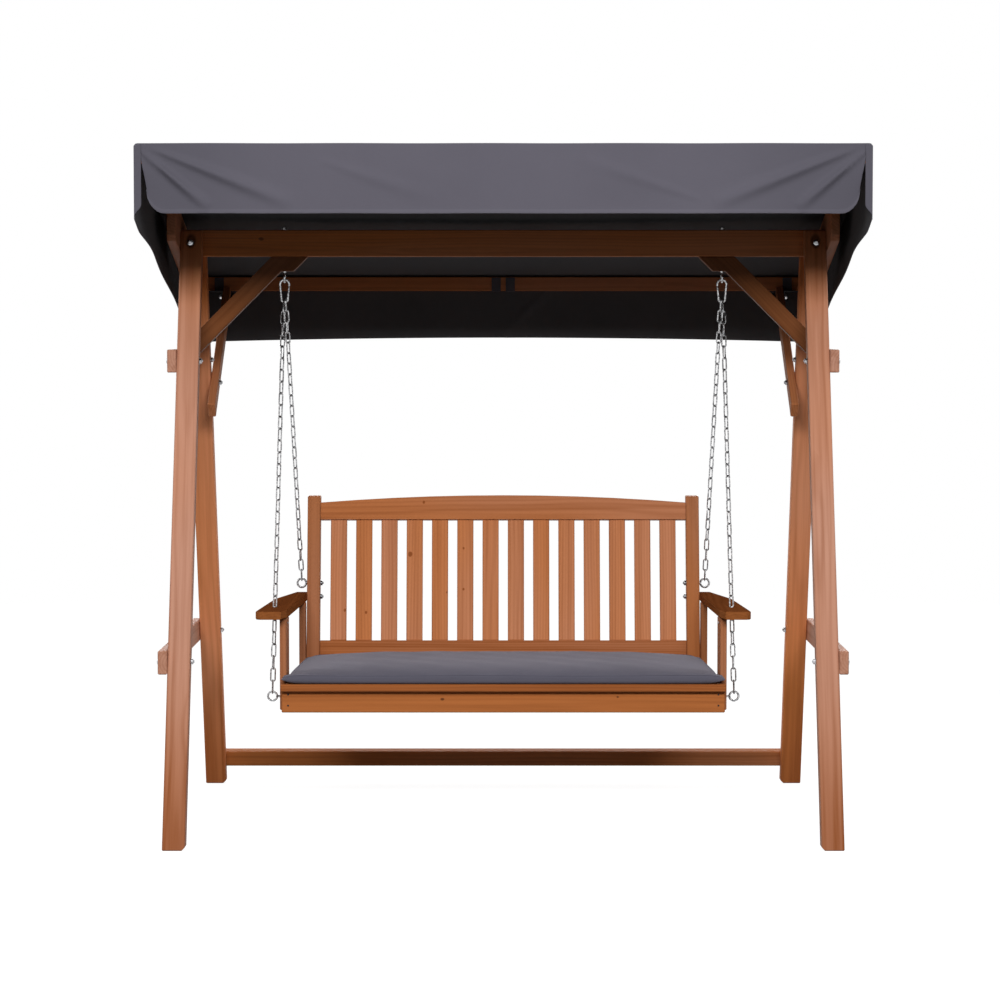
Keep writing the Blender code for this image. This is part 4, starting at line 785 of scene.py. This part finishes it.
def circle(centre, radius, first, second, count=40):
    """Points round a circle in the plane of two directions."""
    angle = np.linspace(0, 2 * np.pi, count, endpoint=False)[:, None]
    around = np.cos(angle) * np.array(first) + np.sin(angle) * np.array(second)
    return np.array(centre) + radius * around


def eye_bolt_grids(seat, way, reach, radius, nut_seat):
    """A ring of wire, its collar and shank, and the nut and thread end on the far side.

    way runs from the seat to the ring, whose plane holds way and the vertical, or for an eye that
    hangs down, way and the line from front to back.
    """
    seat, way = Vector(seat), Vector(way).normalized()
    level = Vector((0, 1, 0)) if abs(way.z) > 0.5 else Vector((0, 0, 1))
    ring = circle(seat + way * reach, radius, way, level)
    neck = reach - radius
    profile = [(0, 0.0003), (0.0052, 0.0003), (0.0052, 0.0022), (0.0047, 0.0028), (0.0034, 0.0030)]
    profile += [(0.0032, neck - 0.0012), (0.0040, neck), (0, neck + 0.0008)]
    grids = [swept(ring, EYE_WIRE, way.cross(level), True), turned(profile, seat, way, 20)]
    return grids + hex_nut(nut_seat, -way)


for side, x_sign in SIDES:
    seat = (x_sign * HOOK_X, 0, HOOK_SEAT_Z)
    nut_seat = (x_sign * HOOK_X, 0, BEAM_TOP_Z)
    grids = eye_bolt_grids(seat, (0, 0, -1), HOOK_SEAT_Z - EYE_CENTRE_Z, EYE_RADIUS, nut_seat)
    made = make_piece("shown_hook_eye_" + side, grids, bright_zinc, "frame")
    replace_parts(made, "hook_eye_bolt_" + side)


# Snap hooks. Bent steel wire, wide above and narrow below, with a slimmer gate of its own wire
# that turns on a pin at the foot and closes against the nose.

SNAP_TOP_Z, SNAP_FOOT_Z = 1.5053, 1.4450
SNAP_WIRE, SNAP_TOP_RADIUS, SNAP_FOOT_HALF, SNAP_FOOT_RADIUS = 0.0030, 0.0130, 0.0086, 0.0045
GATE_LOW, GATE_LENGTH, GATE_GAP = SNAP_FOOT_Z + 0.0125, 0.029, 0.0007
PIN_RADIUS, PIN_HALF, PIN_EDGE = 0.0014, 0.0034, 0.0003


def arc(x, z, radius, start, stop, count):
    """Points along an arc in X and Z."""
    angle = np.radians(np.linspace(start, stop, count))
    across, up = x + radius * np.cos(angle), z + radius * np.sin(angle)
    return np.stack((across, np.zeros(count), up), axis=-1)


def wire_side(z):
    """Half the hook's width at a height on its straight sides."""
    top_z, low_z = SNAP_TOP_Z - SNAP_TOP_RADIUS, SNAP_FOOT_Z + SNAP_FOOT_RADIUS
    return SNAP_FOOT_HALF + (SNAP_TOP_RADIUS - SNAP_FOOT_HALF) * (z - low_z) / (top_z - low_z)


for side, x_sign in SIDES:
    corner = SNAP_FOOT_HALF - SNAP_FOOT_RADIUS
    low_z, top_z = SNAP_FOOT_Z + SNAP_FOOT_RADIUS, SNAP_TOP_Z - SNAP_TOP_RADIUS
    gate_top = GATE_LOW + GATE_LENGTH
    start = [[-wire_side(GATE_LOW - GATE_GAP), 0, GATE_LOW - GATE_GAP]]
    stop = [[-wire_side(gate_top + GATE_GAP), 0, gate_top + GATE_GAP]]
    route = np.concatenate((
        start,
        arc(-corner, low_z, SNAP_FOOT_RADIUS, 180, 270, 8),
        arc(corner, low_z, SNAP_FOOT_RADIUS, 270, 360, 8),
        arc(0, top_z, SNAP_TOP_RADIUS, 0, 180, 26),
        stop,
    ))
    place = np.array((x_sign * HOOK_X, 0, 0))
    mirror = np.array((x_sign, 1, 1))
    grids = [swept(route * mirror + place, SNAP_WIRE, (0, 1, 0), sides=14)]
    made = make_piece("shown_snap_hook_" + side, grids, bright_zinc, "swing")
    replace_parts(made, "snap_hook_" + side)
    foot = np.array((-wire_side(GATE_LOW), 0, GATE_LOW)) * mirror + place
    top = np.array((-wire_side(gate_top), 0, gate_top)) * mirror + place
    share = np.array((0, 0.03, 0.08, 0.5, 0.86, 0.95, 1.0))[:, None]
    wide = np.array((0.0016, 0.0024, 0.0026, 0.0024, 0.0024, 0.0019, 0.0014))
    gate = swept(foot + (top - foot) * share, wide, (0, 1, 0), sides=14)
    pin_at = foot + (top - foot) * 0.10
    slim, near = PIN_RADIUS - PIN_EDGE, PIN_HALF - PIN_EDGE
    pin = [(0, -PIN_HALF), (slim, -PIN_HALF), (PIN_RADIUS, -near)]
    pin += [(PIN_RADIUS, near), (slim, PIN_HALF), (0, PIN_HALF)]
    grids = [gate, turned(pin, pin_at, (0, 1, 0), 14)]
    made = make_piece("shown_gate_" + side, grids, bright_zinc, "gate_" + side)
    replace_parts(made, "snap_gate_" + side)


# Bench eyes and chains. Two chains of welded links hang from each snap hook, one to an eye bolt
# in the front arm post and one to an eye bolt in the back post. The links turn a quarter each.

TOE_IN = math.atan((0.5887 - 0.5663) / 0.4597)
CHAIN_WIRE, CHAIN_CENTRE = 0.0020, 0.0060
CHAIN_BITE, WIRE_GAP = 0.00025, 0.0003
RING_TOP = SEAT_EYE_RADIUS * math.cos(math.pi / 10)
FRONT_EYE_Y, FRONT_EYE_Z, FRONT_EYE_REACH, FRONT_POST = -0.2857, 0.368, 0.0240, 0.0433
REAR_EYE_X, REAR_EYE_Z, REAR_EYE_REACH, BACK_POST = 0.5663, 0.6342, 0.0164, 0.0373
FRONT_LINKS, REAR_LINKS, CHAINS_APART = 33, 27, 0.0026


def chain_grids(start, end, count):
    """Links drawn from half circles and straight sides, set one after another along a line.

    Each is a quarter turn from the last, and the chain as a whole is slack enough to twist by an
    eighth of a turn over its first six links, and back over its last six.
    """
    start, end = np.array(start, float), np.array(end, float)
    length = np.linalg.norm(end - start)
    along = (end - start) / length
    inner = (length + 2 * (EYE_WIRE + WIRE_GAP) - (count - 1) * CHAIN_BITE) / count
    draw = inner / 2 + CHAIN_WIRE - CHAIN_CENTRE
    angle = np.radians(np.concatenate((np.linspace(0, 180, 9), np.linspace(180, 360, 9))))
    lift = np.repeat((draw, -draw), 9)
    flat = np.cross((1, 0, 0), along)
    flat /= np.linalg.norm(flat)
    side_way = np.cross(along, flat)
    made = []
    for i in range(count):
        slack = smooth_step(min(i, count - 1 - i) / 6) * math.pi / 4 + (i % 2) * math.pi / 2
        wide = flat * math.cos(slack) + side_way * math.sin(slack)
        centre = start + along * (inner / 2 - EYE_WIRE - WIRE_GAP + i * (inner + CHAIN_BITE))
        path = centre + CHAIN_CENTRE * np.cos(angle)[:, None] * wide
        path = path + (CHAIN_CENTRE * np.sin(angle) + lift)[:, None] * along
        made.append(swept(path, CHAIN_WIRE, np.cross(along, wide), True, 8))
    return made


for side, x_sign in SIDES:
    out = Vector((x_sign * math.cos(TOE_IN), math.sin(TOE_IN), 0))
    low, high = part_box("seat_eye_bolt_front_" + side)
    far = max(abs(low.x), abs(high.x)) - (SEAT_EYE_RADIUS + EYE_WIRE) * math.cos(TOE_IN)
    front_ring = Vector((x_sign * far, FRONT_EYE_Y, FRONT_EYE_Z))
    front_seat = front_ring - out * FRONT_EYE_REACH
    nut_seat = front_seat - out * FRONT_POST
    grids = eye_bolt_grids(front_seat, out, FRONT_EYE_REACH, SEAT_EYE_RADIUS, nut_seat)
    made = make_piece("shown_front_eye_" + side, grids, bright_zinc, "swing")
    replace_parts(made, "seat_eye_bolt_front_" + side)
    low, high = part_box("seat_eye_bolt_rear_" + side)
    out = Vector((x_sign, 0, 0))
    rear_seat = Vector((x_sign * REAR_EYE_X, (low.y + high.y) / 2, REAR_EYE_Z))
    rear_ring = rear_seat + out * REAR_EYE_REACH
    nut_seat = rear_seat - out * BACK_POST
    grids = eye_bolt_grids(rear_seat, out, REAR_EYE_REACH, SEAT_EYE_RADIUS, nut_seat)
    made = make_piece("shown_rear_eye_" + side, grids, bright_zinc, "swing")
    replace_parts(made, "seat_eye_bolt_rear_" + side)
    for end, apart, ring, count in (
        ("front", CHAINS_APART, front_ring, FRONT_LINKS),
        ("rear", -CHAINS_APART, rear_ring, REAR_LINKS),
    ):
        node = "chain_%s_%s" % (end, side)
        top = (x_sign * (HOOK_X + apart), 0, SNAP_FOOT_Z)
        grids = chain_grids(top, ring + Vector((0, 0, RING_TOP)), count)
        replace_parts(make_piece("shown_" + node, grids, bright_zinc, "swing"), node)


# Seat. Side and rear rails with five slats across them on two battens, an apron in front and a
# longer front slat over it. Oiled softwood like the frame, glued and screwed.

grain = board_grain((0, 1, 0), (0, 0, 0.36), (0, 0, 1))
wear(timber("seat_rail_timber", grain, 31.0, 0.85, 0.3), "seat_frame")
grain = board_grain((1, 0, 0), (0, 0, 0.40), (0, 1, 0))
wear(timber("seat_slat_timber", grain, 33.0, 0.95, 0.4), "seat_deck")


def nosing_stain(place):
    """The front slat's edge is darker than the apron under it."""
    return place.apart()[2].rise(0.386, 0.389) * 0.38


APRON_KNOTS = ((-0.165, 0.006, 0.0045), (0.31, 0.012, 0.003))
grain = board_grain((1, 0, 0), (0, -0.34, 0.36), (0, 0, 1))
made = timber("apron_timber", grain, 35.4, 0.88, -0.12, APRON_KNOTS, dim=nosing_stain)
wear(made, "seat_apron")


# Arms. A front and a rear post of oiled softwood on each side of the seat and an armrest on them,
# wide in front, with a hole that the front chain goes through.


def arm_top_shade(place):
    """Painted shade on an armrest's top, which gets less light than its front."""
    return place.apart()[2].rise(0.6040, 0.6062) * 0.72


for side, x_sign in SIDES:
    grain = board_grain((0, 0, 1), (x_sign * 0.60, -0.28, 0.45), (0, 1, 0))
    made = timber("arm_post_timber_" + side, grain, 38.0 + x_sign, 0.74, 0.25)
    wear(made, "front_arm_post_" + side, "rear_arm_post_" + side)
    grain = board_grain((0, 1, 0), (x_sign * 0.62, 0, 0.595), (1, 0, 0))
    # Painted shade on the armrest's top, and no gloss.
    top_shade_settings = {"dim": arm_top_shade, "gloss": 0.0}
    made = timber("armrest_timber_" + side, grain, 41.0 + x_sign, 0.56, -0.05, **top_shade_settings)
    wear(made, "armrest_" + side)


# Back. Two leaning posts and between them an arched top rail, a bottom rail and fourteen upright
# slats, each from another board, so that their tones differ.

BACK_LEAN = math.radians(11.0)
BACK_FACE_Y, BACK_DATUM_Z = 0.1745, 0.429
SLAT_PITCH, SLAT_LOW, SLAT_HIGH = 0.0732, 0.4735, 0.8183
lean_up = (0, math.sin(BACK_LEAN), math.cos(BACK_LEAN))


def panel_grain(place):
    """Upright grain on the slats, each slat's moved by its number, and grain along the rails."""
    x, _, z = place.apart()
    upright = board_grain(lean_up, (0, BACK_FACE_Y + 0.02, BACK_DATUM_Z))(place)
    level = board_grain((1, 0, 0), (0, BACK_FACE_Y + 0.06, 0.85), (0, 0, 1))(place)
    slat = ((x * (1 / SLAT_PITCH)).math("FLOOR")) * 1.713
    shift = place.node("CombineXYZ", None, {0: slat, 1: slat * 0.013, 2: slat * 0.021})
    upright = upright.node("VectorMath", {"operation": "ADD"}, {0: upright, 1: shift})
    on_slat = z.rise(SLAT_LOW, SLAT_LOW + SLAT_EDGE) * z.rise(SLAT_HIGH + SLAT_EDGE, SLAT_HIGH)
    return place.node("Mix", {"data_type": "VECTOR"}, {0: on_slat, 4: level, 5: upright}, 1)


BACK_KNOTS = ((-0.457, 0.557, 0.0030), (-0.396, 0.551, 0.0030), (-0.269, 0.717, 0.0050))
BACK_KNOTS += ((-0.115, 0.734, 0.0025), (-0.115, 0.617, 0.0025), (-0.163, 0.608, 0.0020))
BACK_KNOTS += ((-0.230, 0.866, 0.0030),)
SLAT_EDGE, LOW_RAIL_STAIN, TOP_RAIL_STAIN = 0.0004, 0.50, 0.20


def back_stain(place):
    """The rails are darker than the slats, the bottom one most, and seven small knots show."""
    x, _, z = place.apart()
    stain = z.rise(SLAT_LOW + SLAT_EDGE, SLAT_LOW) * LOW_RAIL_STAIN
    stain = stain + z.rise(SLAT_HIGH, SLAT_HIGH + SLAT_EDGE) * TOP_RAIL_STAIN
    for knot_x, knot_z, size in BACK_KNOTS:
        away = ((x - knot_x) * (x - knot_x) * 1.6 + (z - knot_z) * (z - knot_z)) ** 0.5
        stain = stain + away.rise(size * 1.9, size * 0.8) * 1.2
    return stain


wear(timber("back_timber", panel_grain, 44.0, 1.02, 0.25, dim=back_stain), "back_panel")
for side, x_sign in SIDES:
    grain = board_grain(lean_up, (x_sign * 0.548, 0.23, 0.62))
    wear(timber("back_post_timber_" + side, grain, 47.0 + x_sign, 0.80, 0.20), "back_post_" + side)


# Bench fasteners. Dark screws in the apron's ends, small bright screws at the tops of the arm
# posts, and the nut of the armrest's bolt on the inner side of each back post.

DARK_SCREW = ((0, 0.0004), (0.0008, 0.0004), (0.0011, 0.0010), (0.0024, 0.0008))
DARK_SCREW += ((0.0027, 0.0002), (0, 0.0002))
POST_SCREW = ((0, 0.0006), (0.0010, 0.0006), (0.0014, 0.0018), (0.0030, 0.0014))
POST_SCREW += ((0.0036, 0.0002), (0, 0.0002))
APRON_SCREW_X, APRON_FACE_Y, APRON_SCREW_HEIGHTS = 0.583, -0.3405, (0.3785, 0.3485)
POST_SCREW_PLACES, POST_SCREW_Z = ((0.5664, 0.1645), (0.5868, -0.2850)), 0.5690
ARM_NUT = (0.5290, 0.2300, 0.5955)
grids, dark_grids = [], []
for side, x_sign in SIDES:
    for z in APRON_SCREW_HEIGHTS:
        seat = (x_sign * APRON_SCREW_X, APRON_FACE_Y, z)
        dark_grids.append(turned(DARK_SCREW, seat, (0, -1, 0), 18))
    for x, y in POST_SCREW_PLACES:
        grids.append(turned(POST_SCREW, (x_sign * x, y, POST_SCREW_Z), (-x_sign, 0, 0), 18))
    grids += hex_nut((x_sign * ARM_NUT[0], ARM_NUT[1], ARM_NUT[2]), (-x_sign, 0, 0))
make_piece("bench_small_bolts", grids, zinc, "swing")
make_piece("apron_screws", dark_grids, black, "swing")


# Seat cushion. One thin foam pad in grey woven cloth, crowned on top, drawn in at its sides, with
# a piped seam round its top edge. Its front corners lie ahead of the arm posts.

CUSHION_FRONT, CUSHION_REAR = -0.3580, 0.1658
CUSHION_FLOOR, CUSHION_EDGE, CUSHION_CROWN = 0.4082, 0.0250, 0.0215
SIDE_START_Y, RAIL_OUTER, FRONT_HALF = -0.3202, 0.5887, 0.6000
CUSHION_THREAD, PIPING_RADIUS, PIPING_LEVEL = 0.0014, 0.0017, 0.97


def cushion_points(a, b, c):
    """The pad's surface from a box: a across, b from front to back and c up, each from -1 to 1.

    The half width steps in behind the front slat, the sides draw in at mid height, and the top
    rises as one less the fifth powers of a and b. The corners are pinched to a tip.
    """
    share = (b + 1) / 2
    y = CUSHION_FRONT + (CUSHION_REAR - CUSHION_FRONT) * share
    behind = smooth_step((y - SIDE_START_Y + 0.009) / 0.006)
    rail = RAIL_OUTER - np.maximum(0, y - SIDE_START_Y) * math.tan(TOE_IN) - 0.0045
    half = FRONT_HALF + (rail - FRONT_HALF) * behind
    rounding = np.where(c < 0, 0.0105, 0.0070) * np.abs(c) ** 3
    waist = 0.0040 * (1 - c * c) * (1 - b**4)
    x = a * (half - (rounding + waist) * np.abs(a) ** 8)
    y = y - b * np.abs(b) ** 8 * (rounding + 0.004 * (1 - c * c) * (1 - a**4))
    lift = CUSHION_CROWN * (1 - np.abs(a) ** 5) * (1 - np.abs(b) ** 5) * np.maximum(0, c)
    inside = np.maximum(0, c) * (1 - a**4) * (1 - b**4)
    soft = 0.0013 * np.sin(23 * a + 4 * b) * np.sin(9 * b - 2 * a) * inside
    droop = 0.0022 * np.sin(3.2 * a + 0.4) ** 2 * (b < 0) * b**8 * np.maximum(0, c)
    z = CUSHION_FLOOR + CUSHION_EDGE * (1 + c) / 2 + lift + soft - droop
    pinch = 0.80 * np.abs(a) ** 42 * np.abs(b) ** 6
    z = z + (CUSHION_FLOOR + 0.52 * CUSHION_EDGE - z) * pinch
    return np.stack((x, y, z), axis=-1)


a_line = np.sin(np.linspace(-1, 1, 121) * math.pi / 2)
a_line = np.sign(a_line) * np.abs(a_line) ** 0.85
step_in, seam = np.linspace(-0.90, -0.80, 9), (-0.99, -0.97, 0.97, 0.99)
b_line = np.unique(np.concatenate((np.linspace(-1, 1, 57), step_in, seam)))
a, b = np.meshgrid(a_line, b_line)
front_edge, side_edge = np.ones(len(a_line)), np.ones(len(b_line) - 2)
loop_a = np.concatenate((a_line, side_edge, a_line[::-1], -side_edge))
loop_b = np.concatenate((-front_edge, b_line[1:-1], front_edge, b_line[-2:0:-1]))
levels = np.linspace(-1, 1, 9)[:, None]
border = cushion_points(*np.broadcast_arrays(loop_a, loop_b, levels))
grids = [
    (cushion_points(a, b, np.ones_like(a)), False, False),
    (cushion_points(a, b, -np.ones_like(a)), False, False),
    (border, False, True),
]


def weave_look(start):
    """Grey polyester cloth: plain weave of two tones, soft fuzz seen along the surface, painted
    shade on the border.
    """
    place = place_in(start)
    x, y, z = place.apart()
    warp = (x * (2 * math.pi / CUSHION_THREAD)).math("SINE")
    weft = ((y + z) * (2 * math.pi / CUSHION_THREAD)).math("SINE")
    weave = warp * weft
    cloud = place.noise((9, 9, 9), 3)
    slub = place.noise((25, 420, 420), 2)
    # Painted shade: the border below the top edge is darker, as the front face gets less light
    # than the top.
    border = z.rise(CUSHION_FLOOR + CUSHION_EDGE, CUSHION_FLOOR + CUSHION_EDGE - 0.003)
    tone = (cloud * 0.5 + slub * 0.5).mix((0.099, 0.095, 0.122), (0.133, 0.126, 0.160))
    return {
        "Base Color": (weave * 0.10 + 0.10 + border * 0.10).mix(tone, (0.05, 0.05, 0.07)),
        "Roughness": 0.85 + slub * 0.12,
        "Normal": (weave * 0.4 + slub * 0.4).bump(0.4, 0.0006),
        "Specular IOR Level": 0.15,
        "Sheen Weight": 0.16,
        "Sheen Roughness": 0.45,
        "Sheen Tint": (0.80, 0.78, 0.88, 1),
    }


cushion_cloth = finish("cushion_weave", weave_look)
cushion = make_piece("seat_cushion_pad", grids, cushion_cloth, "swing", 80)
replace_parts(cushion, "seat_cushion")


def welt(level):
    """The piping along an edge of the pad, as a closed round tube just proud of the cloth."""
    path = cushion_points(loop_a, loop_b, np.full(len(loop_a), level))
    keep = np.linalg.norm(path - np.roll(path, 1, 0), axis=1) > 1e-5
    path = path[keep]
    ahead = np.roll(path, -1, 0) - np.roll(path, 1, 0)
    ahead /= np.linalg.norm(ahead, axis=1, keepdims=True)
    out = np.cross(ahead, (0, 0, 1))
    up = np.cross(out, ahead)
    turn = np.linspace(0, 2 * np.pi, 8, endpoint=False)[None, :, None]
    ring = np.cos(turn) * out[:, None] + np.sin(turn) * up[:, None]
    return path[:, None] + PIPING_RADIUS * ring, True, True


make_piece("cushion_piping", [welt(PIPING_LEVEL)], cushion_cloth, "swing", 80)


# Studio. A pale floor that goes over into white, soft lamps in front, behind and at the sides, and
# the camera at the place from which the photograph was taken, with a long lens.

IMAGE, SENSOR, FOCAL_PIXELS, MIDDLE_X = 1000.0, 36.0, 3061.0, 503.25
CAMERA_Y, CAMERA_Z, PITCH = -8.59, 1.367, math.radians(3.195)
FLOOR_RADIUS, FLOOR_GAP = 7.0, 0.0005


def seen_directly(start):
    """1 for camera, glossy and transmission rays, which see the white."""
    seen = start.node("LightPath")
    for i in (3, 6):
        seen = seen.math("MAXIMUM", start.node("LightPath", take=i))
    return seen


def floor_look():
    """A floor seen as white under a soft shadow, which is grey to all other light."""
    made = bpy.data.materials.new("studio_floor")
    made.use_nodes = True
    tree = made.node_tree
    tree.nodes.clear()
    start = Wire(tree)
    x, y, _ = place_in(start).apart()
    far = ((x * x + y * y) ** 0.5).rise(1.6, 3.6)
    plain = start.node("BsdfDiffuse", None, {"Color": (0.80, 0.80, 0.80, 1)})
    dim = start.node("BsdfDiffuse", None, {"Color": (0.10, 0.10, 0.10, 1)})
    white = start.node("Emission", None, {"Color": (1, 1, 1, 1), "Strength": 1.31 - far * 0.29})
    shown = start.node("MixShader", None, {0: far * 0.30 + 0.70, 1: plain, 2: white})
    whole = start.node("MixShader", None, {0: seen_directly(start), 1: dim, 2: shown})
    output = tree.nodes.new("ShaderNodeOutputMaterial")
    tree.links.new(whole.output, output.inputs["Surface"])
    return made


reach = np.linspace(0, FLOOR_RADIUS, 24)[:, None]
angle = np.linspace(0, 2 * np.pi, 72, endpoint=False)[None]
x, y = reach * np.cos(angle), reach * np.sin(angle)
disc = np.stack((x, y, np.full_like(x, -FLOOR_GAP)), axis=-1)
floor_mesh = bpy.data.meshes.new("studio_floor")
floor_mesh.from_pydata(disc.reshape(-1, 3), [], quads(disc, False, True, 0)[:, ::-1])
floor = bpy.data.objects.new("studio_floor", floor_mesh)
bpy.context.scene.collection.objects.link(floor)
floor_mesh.materials.append(floor_look())

world = bpy.data.worlds.new("studio")
bpy.context.scene.world = world
world.use_nodes = True
world.node_tree.nodes.clear()
start = Wire(world.node_tree)
dim = start.node("Background", None, {"Color": (1, 0.985, 0.97, 1), "Strength": 0.09})
white = start.node("Background", None, {"Color": (1, 1, 1, 1), "Strength": 1.0})
sky = start.node("MixShader", None, {0: seen_directly(start), 1: dim, 2: white})
world_output = world.node_tree.nodes.new("ShaderNodeOutputWorld")
world.node_tree.links.new(sky.output, world_output.inputs["Surface"])


def lamp(name, place, aim, size, level):
    """A soft lamp that lights a pale surface facing it to a level, where 1 is as written."""
    data = bpy.data.lights.new(name, "AREA")
    data.shape = "RECTANGLE"
    data.size, data.size_y = size
    way = Vector(aim) - Vector(place)
    data.energy = level * math.pi**2 * way.length_squared
    thing = bpy.data.objects.new(name, data)
    turn = way.to_track_quat("-Z", "Y").to_matrix().to_4x4()
    thing.matrix_world = Matrix.Translation(place) @ turn
    bpy.context.scene.collection.objects.link(thing)
    return thing


front_lamp = lamp("front_lamp", (0, -7.5, 4.05), (0, 0, 0.9), (5.0, 1.5), 0.91)
front_lamp.visible_glossy = False  # the chains show the white round them, not the lamp
lamp("high_front_lamp", (0, -4.2, 5.2), (0, 0, 0.6), (4.0, 1.6), 0.12)
lamp("rear_lamp", (0, 7.5, 4.4), (0, 0, 0.9), (5.0, 2.5), 0.50)
for name, x_sign in SIDES:
    lamp(name + "_lamp", (x_sign * 7.0, 2.6, 3.2), (0, 0, 0.9), (3.0, 2.5), 0.30)

view = bpy.data.cameras.new("camera")
view.sensor_width = SENSOR
view.lens = FOCAL_PIXELS * SENSOR / IMAGE
view.shift_x = -(MIDDLE_X - IMAGE / 2) / IMAGE
view.clip_end = 60.0
camera = bpy.data.objects.new("camera", view)
turn = Matrix.Rotation(math.pi / 2 - PITCH, 4, "X")
camera.matrix_world = Matrix.Translation((0, CAMERA_Y, CAMERA_Z)) @ turn
bpy.context.scene.collection.objects.link(camera)
bpy.context.scene.camera = camera
bpy.context.scene.view_settings.view_transform = "Standard"
